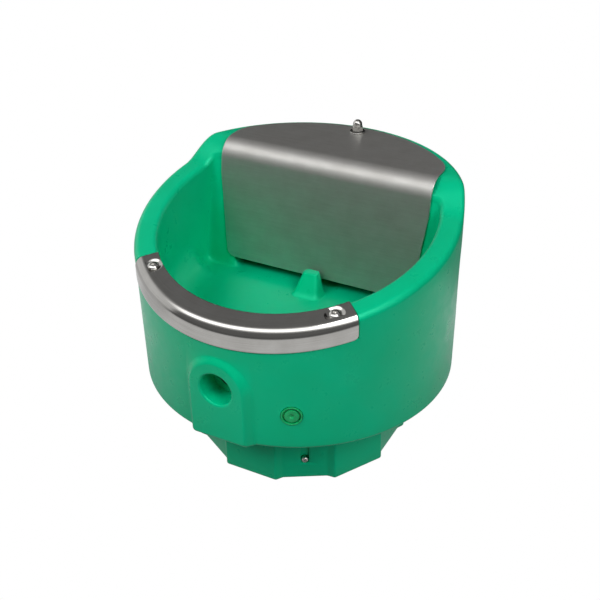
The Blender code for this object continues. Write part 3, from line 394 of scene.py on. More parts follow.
class SurfaceTree:
    """A new material and the links that every finish makes to its Principled shader.

    Attributes:
        material: The material.
        tree: Its node tree.
        shader: Its Principled shader.
    """

    def __init__(self, name: str) -> None:
        self.material = bpy.data.materials.new(name)
        self.material.use_nodes = True
        self.tree = self.material.node_tree
        self.shader = self.tree.nodes["Principled BSDF"]

    def set(self, **values: Value) -> None:
        """Sets constants on the shader, whose sockets are named with _ for a space."""
        for name, value in values.items():
            self.shader.inputs[name.replace("_", " ")].default_value = value

    def place(self) -> Socket:
        """Returns the socket of the piece's own coordinates, in metres."""
        return add(self.tree, "ShaderNodeTexCoord").outputs["Object"]

    def colour(self, source: Socket, shade: str, colour: str, start: float,
               stop: float) -> None:
        """Runs the base colour from a shade to a colour while a value goes from start to stop."""
        made = ramp(self.tree, source, ((start, linear(shade)), (stop, linear(colour))))
        self.tree.links.new(made, self.shader.inputs["Base Color"])

    def roughness(self, source: Socket, low: float, high: float) -> None:
        """Runs the roughness from low to high over the middle of a noise's range."""
        made = span(self.tree, source, low, high, 0.3, 0.7)
        self.tree.links.new(made, self.shader.inputs["Roughness"])

    def bump(self, height: Socket, strength: float, depth: float,
             under: Optional[Socket] = None) -> Socket:
        """Links a bump to the shader, over another one if given, and returns its socket."""
        inputs = {"Height": height, "Strength": strength, "Distance": depth}
        if under:
            inputs["Normal"] = under
        normal = add(self.tree, "ShaderNodeBump", inputs=inputs).outputs["Normal"]
        self.tree.links.new(normal, self.shader.inputs["Normal"])
        return normal


@dataclass(frozen=True)
class MouldedPolyethylene:
    """Rotomoulded polyethylene: semi-gloss, with shallow waves from cooling on its mould."""

    name: str = "rotomoulded_polyethylene"
    colour: str = "00c48e"
    shade: str = "00bb84"
    tint: str = "6ce8c4"
    roughness: float = 0.3
    duller: float = 0.09
    glossier: float = 0.05
    gloss: float = 0.6
    cloud: Noise = Noise(90 * MM, 3.0, 0.5)
    scuff: Noise = Noise(22 * MM, 5.0, 0.62)
    wave: Noise = Noise(9 * MM, 1.0, 0.4)
    wave_depth: float = 0.35 * MM
    pit: Noise = Noise(0.9 * MM, 2.0, 0.5)
    pit_depth: float = 0.05 * MM

    def build(self) -> Material:
        """Returns the material."""
        surface = SurfaceTree(self.name)
        tree, place_at = surface.tree, surface.place()
        surface.colour(self.cloud.socket(tree, place_at), self.shade, self.colour, 0.3, 0.7)
        # Scuffs and water marks dull the gloss in patches of a few centimetres.
        surface.roughness(self.scuff.socket(tree, place_at), self.roughness - self.glossier,
                          self.roughness + self.duller)
        broad = surface.bump(self.wave.socket(tree, place_at), 0.35, self.wave_depth)
        surface.bump(self.pit.socket(tree, place_at), 0.22, self.pit_depth, broad)
        surface.set(IOR=1.52, Specular_IOR_Level=self.gloss, Specular_Tint=linear(self.tint),
                    Subsurface_Weight=0.06, Subsurface_Radius=(0.4, 1.0, 0.6),
                    Subsurface_Scale=2 * MM)
        return surface.material


@dataclass(frozen=True)
class BrushedStainless:
    """Brushed stainless sheet: fine parallel scratches that stretch every reflection across them.

    The scratches follow the piece's own UV map, in metres, with U along the brushing.
    """

    name: str
    colour: str = "c9c8c5"
    shade: str = "b4b2ae"
    roughness: float = 0.33
    spread: float = 0.03
    anisotropy: float = 0.7
    scratch: float = 0.3 * MM
    length: float = 25 * MM
    depth: float = 0.01 * MM
    strength: float = 0.15
    mark: Noise = Noise(30 * MM, 4.0, 0.55)

    def build(self) -> Material:
        """Returns the material."""
        surface = SurfaceTree(self.name)
        tree = surface.tree
        uv = add(tree, "ShaderNodeUVMap", {"uv_map": "grain"}).outputs["UV"]

        def streaks(along: float, across: float, detail: float) -> Socket:
            """Returns noise stretched along the brushing."""
            scale = (1 / along, 1 / across, 1.0)
            stretch = add(tree, "ShaderNodeMapping", inputs={"Vector": uv, "Scale": scale})
            return Noise(1.0, detail, 0.6).socket(tree, stretch.outputs["Vector"])

        fine = streaks(self.length, self.scratch, 4.0)
        broad = streaks(self.length * 4, self.scratch * 14, 2.0)
        scratches = mean(tree, 0.25, fine, broad)
        # Handling leaves soft cloudy marks that the brushing shows through.
        tone = mean(tree, 0.35, scratches, self.mark.socket(tree, uv))
        surface.colour(tone, self.shade, self.colour, 0.36, 0.64)
        surface.roughness(tone, self.roughness + self.spread, self.roughness - self.spread)
        surface.bump(scratches, self.strength, self.depth)
        tangent = add(tree, "ShaderNodeTangent", {"direction_type": "UV_MAP", "uv_map": "grain"})
        tree.links.new(tangent.outputs["Tangent"], surface.shader.inputs["Tangent"])
        # A quarter turn spreads the lustre across the scratches.
        surface.set(Metallic=1.0, Anisotropic=self.anisotropy, Anisotropic_Rotation=0.25)
        return surface.material


@dataclass(frozen=True)
class PlainSurface:
    """Plain surface of one colour, clouded by handling, with a fine grain."""

    name: str
    colour: str
    shade: str
    roughness: float
    metallic: float = 0.0
    spread: float = 0.06
    cloud: Noise = Noise(14 * MM, 3.0, 0.55)
    stops: tuple = (0.3, 0.7)
    grain: Noise = Noise(1.0 * MM, 2.0, 0.5)
    depth: float = 0.05 * MM

    def build(self) -> Material:
        """Returns the material."""
        surface = SurfaceTree(self.name)
        place_at = surface.place()
        cloud = self.cloud.socket(surface.tree, place_at)
        surface.colour(cloud, self.shade, self.colour, *self.stops)
        surface.roughness(cloud, self.roughness + self.spread, self.roughness - self.spread)
        surface.bump(self.grain.socket(surface.tree, place_at), 0.3, self.depth)
        surface.set(Metallic=self.metallic, IOR=1.5)
        return surface.material


class MouldedPlastic(PlainSurface):
    """Moulded plastic or rubber, with the plain surface's own grain."""


@dataclass(frozen=True)
class PlainMetal(PlainSurface):
    """Turned or rolled metal: even lustre with fine random handling scratches."""

    metallic: float = 1.0
    spread: float = 0.08
    cloud: Noise = Noise(6 * MM, 4.0, 0.6)
    stops: tuple = (0.35, 0.6)
    grain: Noise = Noise(1.2 * MM, 3.0, 0.6)
    depth: float = 0.02 * MM


class Finish(Enum):
    """Finishes of the bowl, each with the record slot that it belongs to."""

    GREEN = ("green_polyethylene", MouldedPolyethylene())
    STOPPER = ("green_polyethylene",
               MouldedPlastic("moulded_green_stopper", "08b46a", "069f5c", 0.42))
    SHEET = ("brushed_stainless", BrushedStainless("brushed_stainless_cover", roughness=0.41))
    GUARD = ("brushed_stainless", BrushedStainless(
        "brushed_stainless_guard", colour="b9b8b5", shade="a5a39f", roughness=0.13, spread=0.04,
        scratch=0.5 * MM, length=70 * MM, strength=0.35, anisotropy=0.2))
    BRIGHT = ("bright_stainless", PlainMetal("bright_stainless_steel", "d2d1ce", "b9b7b3", 0.2))
    BRASS = ("brass", PlainMetal("machined_brass", "dcc28a", "c4a468", 0.32))
    RUBBER = ("black_rubber", MouldedPlastic("moulded_black_rubber", "1d1d1c", "141414", 0.62))
    ACETAL = ("white_acetal", MouldedPlastic("moulded_white_acetal", "eceae4", "dedcd4", 0.36))
    FLOAT = ("blue_float_plastic",
             MouldedPlastic("blow_moulded_blue_plastic", "1d4f9e", "18458c", 0.34))

    @property
    def slot(self) -> str:
        """Record slot of the finish."""
        return self.value[0]

    def material(self) -> Material:
        """Returns the finish's material, made once."""
        made = bpy.data.materials.get(self.value[1].name)
        return made or self.value[1].build()


# Moulded shell

@dataclass
class MouldedShell:
    """The double-wall bowl on its foot, as one skin with rounded edges.

    Its drum is a loft of columns round the axis and rings from the lower edge, over the rim and
    down to the floor. The foot, outlet, nub and screw slots are joined to it or cut from it.
    """

    radius: float = 200 * MM
    draught: float = 2 * MM
    rim_width: float = 29 * MM
    rim_outer_round: float = 7.5 * MM
    rim_inner_round: float = 7 * MM
    seat_outer_round: float = 9.5 * MM
    rim_z: float = 306 * MM
    rim_slope: float = 0.2227
    shoulder_start: float = 48 * MM
    shoulder_end: float = 96 * MM
    back_z: float = 345.5 * MM
    bottom_z: float = 101.5 * MM
    bottom_round: float = 5 * MM
    floor_z: float = 178 * MM
    floor_fall: float = 0.09
    fall_start: float = -20 * MM
    floor_round: float = 40 * MM
    chamber_round: float = 12 * MM
    pillar_round: float = 9 * MM
    plate_lap: float = 9 * MM
    plate_half: float = 146.07 * MM
    plate_taper: float = 0.1165
    plate_y_at_rim: float = 62 * MM
    plate_lean: float = 0.155
    sheet: float = 2 * MM
    gap: float = 0.3 * MM
    guard_half_deg: float = 47.0
    guard_drop: float = 28 * MM
    guard_proud: float = 0.8 * MM
    seat_inner_round: float = 2 * MM
    foot_corner_r: float = 141 * MM
    foot_panel_r: float = 134.4 * MM
    foot_face_half_deg: float = 14.6
    foot_panel_half_deg: float = 12.1
    cavity_r: float = 110 * MM
    ceiling_z: float = 140 * MM
    outlet_z: float = 174.4 * MM
    outlet_r: float = 20.5 * MM
    outlet_lip: float = 3 * MM
    boss_half: float = 38 * MM
    boss_proud: float = 4 * MM
    boss_round: float = 4.5 * MM
    boss_flare: float = 6 * MM
    web_front: float = 175 * MM
    web_back: float = 166 * MM
    throat_r: float = 12 * MM
    sump_r: float = 24 * MM
    sump_length: float = 44 * MM
    sump_round: float = 3 * MM
    past: float = 20 * MM
    screw_degs: tuple = (-40.5, 40.5)
    screw_r: float = 183.4 * MM
    base_screw_degs: tuple = (30, 150, 270)
    base_screw_z: float = 28 * MM
    slot_half: float = 5.3 * MM
    slot_top_z: float = 50 * MM
    slot_depth: float = 5.5 * MM
    foot_side_round: float = 2.2 * MM
    foot_levels: tuple = ((0.0, 3.0 * MM), (0.25 * MM, 1.8 * MM), (0.9 * MM, 0.9 * MM),
                          (1.8 * MM, 0.25 * MM), (3.0 * MM, 0.0), (20 * MM, 0.0), (60 * MM, 0.0),
                          (107 * MM, 0.0))
    nub_half: float = 19.5 * MM
    nub_top_half: float = 10.5 * MM
    nub_front: float = 11 * MM
    nub_top_front: float = 28.5 * MM
    nub_top_back: float = 42 * MM
    nub_corner: float = 8 * MM
    nub_top_corner: float = 5 * MM
    nub_plate_gap: float = 3 * MM
    nub_root: float = 3 * MM
    nub_side_h: float = 29 * MM
    nub_dome_h: float = 2.0 * MM
    nub_dome_round: float = 4.5 * MM
    nub_flare: float = 4.5 * MM
    plug_deg: float = 25.3
    plug_z: float = 150 * MM
    plug_r: float = 12.8 * MM
    stud_y: float = 171 * MM
    stud_boss_r: float = 17 * MM
    stud_boss_h: float = 160 * MM
    insert_r: float = 7.3 * MM
    base_insert_r: float = 4.9 * MM
    passages: tuple = ((-38 * MM, 84 * MM, 10.8 * MM), (0.0, 88 * MM, 9.3 * MM))
    round_steps: int = 8

    def rim_height(self, y: float) -> float:
        """Returns the rim's height at a distance behind the axis."""
        if y <= self.shoulder_start:
            return self.rim_z + self.rim_slope * y
        start = self.rim_z + self.rim_slope * self.shoulder_start
        reach = self.shoulder_end - self.shoulder_start
        t = min((y - self.shoulder_start) / reach, 1.0)
        level = between(start, self.back_z, ease(t, 0.0, 1.0))
        return level + t * (1 - t) ** 2 * self.rim_slope * reach

    def floor_height(self, y: float) -> float:
        """Returns the floor's height, which falls to the outlet in its front half."""
        return self.floor_z + self.floor_fall * smooth_min(0.0, y - self.fall_start, 20 * MM)

    def inside_r(self) -> float:
        """Returns the round bowl's radius inside the rim."""
        return self.radius - self.rim_width

    def outer_radius(self, z: float) -> float:
        """Returns the drum's outside radius at a height."""
        return self.radius - self.draught * (self.rim_z - z) / (self.rim_z - self.bottom_z)

    def plan(self, z: float) -> tuple[float, float, float]:
        """Returns the bowl's inside radius, the chamber's half width and the pillars' face."""
        half = self.plate_half + self.plate_taper * min(0.0, z - self.rim_z) - self.plate_lap
        face = self.plate_y_at_rim + self.plate_lean * (z - self.rim_z) + self.sheet + self.gap
        return self.inside_r(), half, face

    def columns(self, z: float) -> list[float]:
        """Returns the columns' angles, close together at the guard's ends and the pillars."""
        radius, half, face = self.plan(z)
        meet = 90 + math.degrees(math.asin(face / radius))
        corner = 90 + math.degrees(math.atan2(face, half))
        merge = 180 - math.degrees(math.asin(half / radius))
        near = (corner - meet) / 4
        edge = 0.15
        knots = (0, 30, self.guard_half_deg + edge, self.guard_half_deg + 2 * edge, 90, meet - 6,
                 meet + near, corner - near, corner + 3, merge - 5, merge + 6, 180)
        counts = (20, 14, 1, 24, 9, 10, 8, 8, 10, 10, 20)
        right = [0.0]
        for low, high, count in zip(knots, knots[1:], counts):
            right += [low + (high - low) * (i + 1) / count for i in range(count)]
        return right + [360 - angle for angle in reversed(right[1:-1])]

    def inside(self, degrees: float, z: float) -> float:
        """Returns the inside wall's plan radius: round in front, straight-sided behind."""
        radius, half, face = self.plan(z)
        turn = math.radians(degrees)
        bowl = face / max(-math.cos(turn), 0.02)
        chamber = half / max(abs(math.sin(turn)), 0.02)
        behind = smooth_max(bowl, chamber, self.pillar_round)
        return smooth_min(radius, behind, self.pillar_round)

    def seated(self, degrees: float) -> bool:
        """Tells whether a column lies under the lip guard."""
        return min(degrees, 360 - degrees) <= self.guard_half_deg + 0.2

    def fillet(self, degrees: float, z: float) -> float:
        """Returns the radius between wall and floor at a column."""
        radius, _, face = self.plan(z)
        meet = 90 + math.degrees(math.asin(face / radius))
        behind = ease(min(degrees, 360 - degrees), meet - 12, meet - 2)
        return between(self.floor_round, self.chamber_round, behind)

    def rim_edge(self) -> list[tuple[float, float]]:
        """Returns the angle and height of each column where the inside wall meets the rim."""
        edge = []
        for i, start in enumerate(self.columns(self.rim_z)):
            level = self.rim_height(polar(self.inside(start, self.rim_z), start).y)
            edge.append((self.columns(level)[i], level))
        return edge

    def seat_ring(self, drop: float, depth: float) -> list[Vector]:
        """Returns a ring below the rim, let in by a depth where the guard sits."""
        ring = []
        for a, _ in self.rim_edge():
            z = self.rim_height(polar(self.radius, a).y) - self.guard_drop - self.gap - drop
            ring.append(polar(self.outer_radius(z) - (depth if self.seated(a) else 0.0), a, z))
        return ring

    def rim_ring(self, swing: float, outside: bool) -> list[Vector]:
        """Returns a ring on the rim's outer or inner rounding, from upright to flat."""
        let_in = self.sheet + self.gap
        ring = []
        for a, level in self.rim_edge():
            seated = self.seated(a)
            if outside:
                bend = self.seat_outer_round if seated else self.rim_outer_round
                edge = self.radius - (let_in - self.guard_proud if seated else 0.0)
                radius = edge - bend * (1 - math.cos(swing))
            else:
                bend = self.seat_inner_round if seated else self.rim_inner_round
                radius = self.inside(a, level) + bend * (1 - math.cos(swing))
            top = self.rim_height(polar(radius, a).y) - (let_in if seated else 0.0)
            ring.append(polar(radius, a, top - bend * (1 - math.sin(swing))))
        return ring

    def wall_ring(self, share: float) -> list[Vector]:
        """Returns a ring on the inside wall, from the rim at 0 to the floor's fillet at 1."""
        ring = []
        for i, (a, level) in enumerate(self.rim_edge()):
            rim = self.rim_height(polar(self.inside(a, level), a).y)
            top = rim - self.rim_inner_round - self.sheet - self.gap
            low = self.floor_z + self.fillet(a, self.floor_z)
            z = between(top, low, share)
            turn = self.columns(z)[i]
            ring.append(polar(self.inside(turn, z), turn, z))
        return ring

    def floor_ring(self, swing: float, share: float = 1.0) -> list[Vector]:
        """Returns a ring on the floor's fillet, or on the floor at a share of its width."""
        ring = []
        for i, start in enumerate(self.columns(self.floor_z)):
            fillet = self.fillet(start, self.floor_z)
            level = self.floor_z + fillet
            a = self.columns(level)[i]
            radius = (self.inside(a, level) - fillet * (1 - math.cos(swing))) * share
            floor = self.floor_height(polar(radius, a).y)
            ring.append(polar(radius, a, floor + fillet * (1 - math.sin(swing))))
        return ring

    def drum(self) -> Object:
        """Returns the drum as a closed solid."""
        swings = quarter(self.round_steps)
        low = self.outer_radius(self.bottom_z)
        rings = []
        for swing in reversed(swings):
            radius = low - self.bottom_round * (1 - math.cos(swing))
            z = self.bottom_z + self.bottom_round * (1 - math.sin(swing))
            rings.append([polar(radius, a, z) for a in self.columns(self.bottom_z)])
        for share in (0.2, 0.4, 0.6, 0.8, 1.0):
            z = between(self.bottom_z, self.floor_z, share)
            rings.append([polar(self.outer_radius(z), a, z) for a in self.columns(z)])
        depth = self.sheet + self.gap - self.guard_proud
        for drop, let_in in ((14 * MM, 0.0), (3 * MM, 0.0), (1.0 * MM, 0.0), (0.5 * MM, 0.15 * MM),
                             (0.2 * MM, 0.5 * MM), (0.0, depth)):
            rings.append(self.seat_ring(drop, let_in))
        rings += [self.rim_ring(swing, outside=True) for swing in swings]
        rings += [self.rim_ring(swing, outside=False) for swing in reversed(swings)]
        rings += [self.wall_ring(i / 8) for i in range(9)]
        rings += [self.floor_ring(swing) for swing in quarter(14)[1:]]
        rings += [self.floor_ring(math.pi / 2, share)
                  for share in (0.92, 0.8, 0.65, 0.5, 0.35, 0.2, 0.08)]
        rings.append([Vector((0, 0, self.floor_height(0.0)))])
        return loft("bowl_shell", rings, angle=50)

    def foot(self) -> Object:
        """Returns the twelve-sided foot with rounded corners and a rounded lower edge."""
        points = []
        for side in range(12):
            proud = side % 2 == 0
            radius = self.foot_corner_r if proud else self.foot_panel_r
            half = self.foot_face_half_deg if proud else self.foot_panel_half_deg
            for turn in (30 * side - half, 30 * side + half):
                point = polar(radius, turn)
                points.append((point.x, point.y))
        outline = rounded(points, self.foot_side_round, 4, ends=True)
        rings = []
        for z, pull in self.foot_levels:
            shares = [1 - pull / math.hypot(x, y) for x, y in outline]
            rings.append([Vector((x * share, y * share, z))
                          for (x, y), share in zip(outline, shares)])
        return loft("foot", rings, angle=50)

    def boss_ring(self, offset: float, rise: float) -> list[Vector]:
        """Returns a ring of the outlet pad.

        Args:
            offset: How far the ring stands outside the pad's outline.
            rise: Its height between the drum's skin at 0 and the pad's flat face at 1.
        """
        half = self.boss_half + offset
        low = self.bottom_z + self.gap + max(-offset, 0.0)
        steps, corner = 40, 4 * MM
        outline = []
        for a in [math.pi * i / steps for i in range(steps + 1)]:
            outline.append((half * math.cos(a), self.outlet_z + half * math.sin(a)))
        swings = quarter(5)
        for side, turn in ((-1, swings), (1, list(reversed(swings)))):
            outline += [(side * (half - corner * (1 - math.cos(a))),
                         low + corner * (1 - math.sin(a))) for a in turn]
        ring = []
        for x, z in outline:
            skin = math.sqrt(self.outer_radius(z) ** 2 - x ** 2) - 0.2 * MM
            proud = self.radius + self.boss_proud - skin
            ring.append(Vector((x, -skin - proud * rise, z)))
        return ring

    def boss(self) -> Object:
        """Returns the arch-topped pad round the outlet, which flares softly into the drum."""
        steps = 14
        rings = []
        for i in range(steps + 1):
            share = i / steps
            offset = between(-self.boss_round, self.boss_flare, share)
            rings.append(self.boss_ring(offset, 1 - ease(share, 0.0, 1.0)))
        rings.append([Vector((point.x, -(self.radius - 12 * MM), point.z)) for point in rings[-1]])
        return loft("outlet_pad", rings, angle=50)

    def nub(self) -> Object:
        """Returns the tapered nub on the floor in front of the cover."""
        plate = self.plate_y_at_rim + self.plate_lean * (self.floor_z - self.rim_z)
        rear = plate - self.nub_plate_gap
        rings = []
        for share in [(i / 16) ** 1.5 for i in range(17)]:
            z = self.floor_z - self.nub_root + self.nub_side_h * share
            flare = self.nub_flare * max(1 - share / 0.3, 0.0) ** 2
            half = between(self.nub_half, self.nub_top_half, share) + flare
            front = between(self.nub_front, self.nub_top_front, share) - flare
            back = between(rear, self.nub_top_back, share)
            corner = between(self.nub_corner, self.nub_top_corner, share)
            rings.append(self.nub_outline(half, front, back, corner, z))
        top = self.floor_z - self.nub_root + self.nub_side_h
        for a in quarter(6)[1:]:
            pull = self.nub_dome_round * (1 - math.cos(a))
            rings.append(self.nub_outline(self.nub_top_half - pull, self.nub_top_front + pull,
                                          self.nub_top_back - pull, self.nub_top_corner,
                                          top + self.nub_dome_h * math.sin(a)))
        return loft("nub", rings, angle=50)

    @staticmethod
    def nub_outline(half: float, front: float, back: float, corner: float,
                    z: float) -> list[Vector]:
        """Returns a rounded oblong ring at a height."""
        depth = (back - front) / 2
        corner = min(corner, half * 0.95, depth * 0.95)
        points = []
        right, rear = half - corner, back - corner
        for cx, cy, start in ((right, rear, 0), (-right, rear, 90),
                              (-right, front + corner, 180), (right, front + corner, 270)):
            for turn in range(0, 91, 18):
                a = math.radians(start + turn)
                points.append(Vector((cx + corner * math.cos(a), cy + corner * math.sin(a), z)))
        return points

    def seat_frame(self, degrees: float) -> Matrix:
        """Returns a matrix on the slope of the rim, where a guard screw stands."""
        at = polar(self.screw_r, degrees)
        at.z = self.rim_height(at.y)
        return place(at, Vector((0, -self.rim_slope, 1)).normalized())

    def outlet_cutters(self) -> list[Object]:
        """Returns the tools of the outlet: its bore with a rounded lip, throat and sump."""
        axis = place((0, 0, self.outlet_z), (0, -1, 0))
        front = self.radius + self.boss_proud
        lip = self.outlet_lip
        flared = self.outlet_r + lip
        bore = [(0, self.web_front), (self.outlet_r, self.web_front), (self.outlet_r, front - lip)]
        bore += [(self.outlet_r + lip * (1 - math.cos(a)), front - lip * (1 - math.sin(a)))
                 for a in quarter(6)[1:-1]]
        bore += [(flared, front), (flared, front + self.past), (0, front + self.past)]
        back = self.web_back - self.sump_length
        sump = [(0, back), (self.sump_r - self.sump_round, back),
                (self.sump_r, back + self.sump_round), (self.sump_r, self.web_back),
                (0, self.web_back)]
        return [turned("bore", bore, axis, 72),
                rod("throat", self.throat_r, self.web_back - 5 * MM, self.radius, axis, 48),
                turned("sump", sump, axis, 64)]

    def screw_cutters(self) -> list[Object]:
        """Returns the tools of the pockets for the inserts and of the dimples and slots."""
        let_in = self.sheet + self.gap
        dimple = [(0, -5.2 * MM), (9.5 * MM, -5.2 * MM), (13.5 * MM, -let_in - 0.3 * MM),
                  (15 * MM, -let_in + 0.2 * MM), (15 * MM, 6 * MM), (0, 6 * MM)]
        tools = []
        for turn in self.screw_degs:
            frame = self.seat_frame(turn)
            tools.append(turned("dimple", dimple, frame, 40))
            tools.append(rod("pocket", self.insert_r, -22 * MM, -4 * MM, frame, 24))
        tools.append(rod("stud_pocket", self.insert_r, self.back_z - 20.6 * MM,
                         self.back_z + 2 * MM, place((0, self.stud_y, 0)), 24))
        tools += [self.slot(turn) for turn in self.base_screw_degs]
        tools += [rod("screw_pocket", self.base_insert_r, -16 * MM, -3 * MM,
                      self.panel_frame(turn, self.base_screw_z), 20)
                  for turn in self.base_screw_degs]
        return tools

    def cutters(self) -> list[Object]:
        """Returns all the tools that cut the shell, in order."""
        ceiling = self.ceiling_z
        cavity = rounded([(0, -10 * MM), (self.cavity_r, -10 * MM), (self.cavity_r, ceiling),
                          (0, ceiling)], 4 * MM, 6)
        tools = [turned("cavity", cavity, place((0, 0, 0)), 96)] + self.outlet_cutters()
        for x, y, radius in self.passages:
            tools.append(rod("passage", radius, ceiling - 6 * MM, self.floor_z + 6 * MM,
                             place((x, y, 0)), 32))
        tools += self.screw_cutters()
        skin = polar(self.outer_radius(self.plug_z), self.plug_deg, self.plug_z)
        rim = self.plug_r + 0.9 * MM
        hole = [(0, -9.4 * MM), (self.plug_r, -9.4 * MM), (self.plug_r, -0.8 * MM),
                (rim, 0.15 * MM), (rim, 4 * MM), (0, 4 * MM)]
        return tools + [turned("plug_hole", hole, place(skin, polar(1, self.plug_deg)), 48)]

    def panel_frame(self, degrees: float, z: float) -> Matrix:
        """Returns a matrix on a foot panel: local X along it, local Y up and local Z outwards."""
        apothem = self.foot_panel_r * math.cos(math.radians(self.foot_panel_half_deg))
        outward = polar(1, degrees)
        upward = Vector((0, 0, 1))
        axes = Matrix((upward.cross(outward).normalized(), upward, outward)).transposed()
        return Matrix.Translation(polar(apothem, degrees, z)) @ axes.to_4x4()

    def slot(self, degrees: float) -> Object:
        """Returns the cutter of the upright slot above a foot screw."""
        frame = self.panel_frame(degrees, self.base_screw_z)
        height = self.slot_top_z - self.base_screw_z
        turns = [math.pi * i / 16 for i in range(17)]
        rings = []
        for grow, depth in ((0.0, -self.slot_depth), (0.0, -1.0 * MM), (0.25 * MM, -0.35 * MM),
                            (0.9 * MM, 0.1 * MM), (0.9 * MM, 3 * MM)):
            half = self.slot_half + grow
            ring = [(half * math.cos(a), -half * math.sin(a)) for a in turns]
            ring += [(half * math.cos(a), height + half * math.sin(a)) for a in reversed(turns)]
            rings.append([frame @ Vector((x, y, depth)) for x, y in ring])
        return loft("slot", rings)

    def make(self) -> None:
        """Builds the shell and dresses it."""
        shell = self.drum()
        top = self.back_z - self.gap
        stud_boss = rod("stud_boss", self.stud_boss_r, top - self.stud_boss_h, top,
                        place((0, self.stud_y, 0)), 40)
        for tool in (self.foot(), self.boss(), self.nub(), stud_boss):
            combine(shell, tool, "UNION")
        for tool in self.cutters():
            combine(shell, tool, "DIFFERENCE")
        smooth(shell, 42)
        dress(shell, "bowl", Finish.GREEN, "bowl_body")


@dataclass
class FillingPlug:
    """Push-in plug of the foam-filling hole: a ring, a groove and a raised disc with a dimple."""

    degrees: float = 25.3
    z: float = 150 * MM
    skin_r: float = 198.5 * MM
    radius: float = 12.5 * MM
    groove_r: float = 10.8 * MM
    groove_depth: float = 3.6 * MM
    disc_r: float = 8.4 * MM
    dimple_r: float = 3 * MM
    dimple_floor_r: float = 1.6 * MM
    proud: float = 1 * MM
    depth: float = 9 * MM

    def make(self) -> None:
        """Builds the plug and dresses it."""
        low = self.proud - self.groove_depth
        disc = self.proud - 0.4 * MM
        pit = self.proud - 1.8 * MM
        corners = [(0, -self.depth), (self.radius - MM, -self.depth), (self.radius, -6 * MM),
                   (self.radius, self.proud), (self.groove_r, self.proud),
                   (self.groove_r - 0.5 * MM, low), (self.disc_r + 0.3 * MM, low),
                   (self.disc_r, disc), (self.dimple_r, disc), (self.dimple_floor_r, pit),
                   (0, pit)]
        frame = place(polar(self.skin_r, self.degrees, self.z), polar(1, self.degrees))
        plug = turned("filling_plug", rounded(corners, 0.6 * MM, 4), frame, 72, angle=50)
        dress(plug, "bowl", Finish.STOPPER, "foam_plug")


# Stainless lip guard

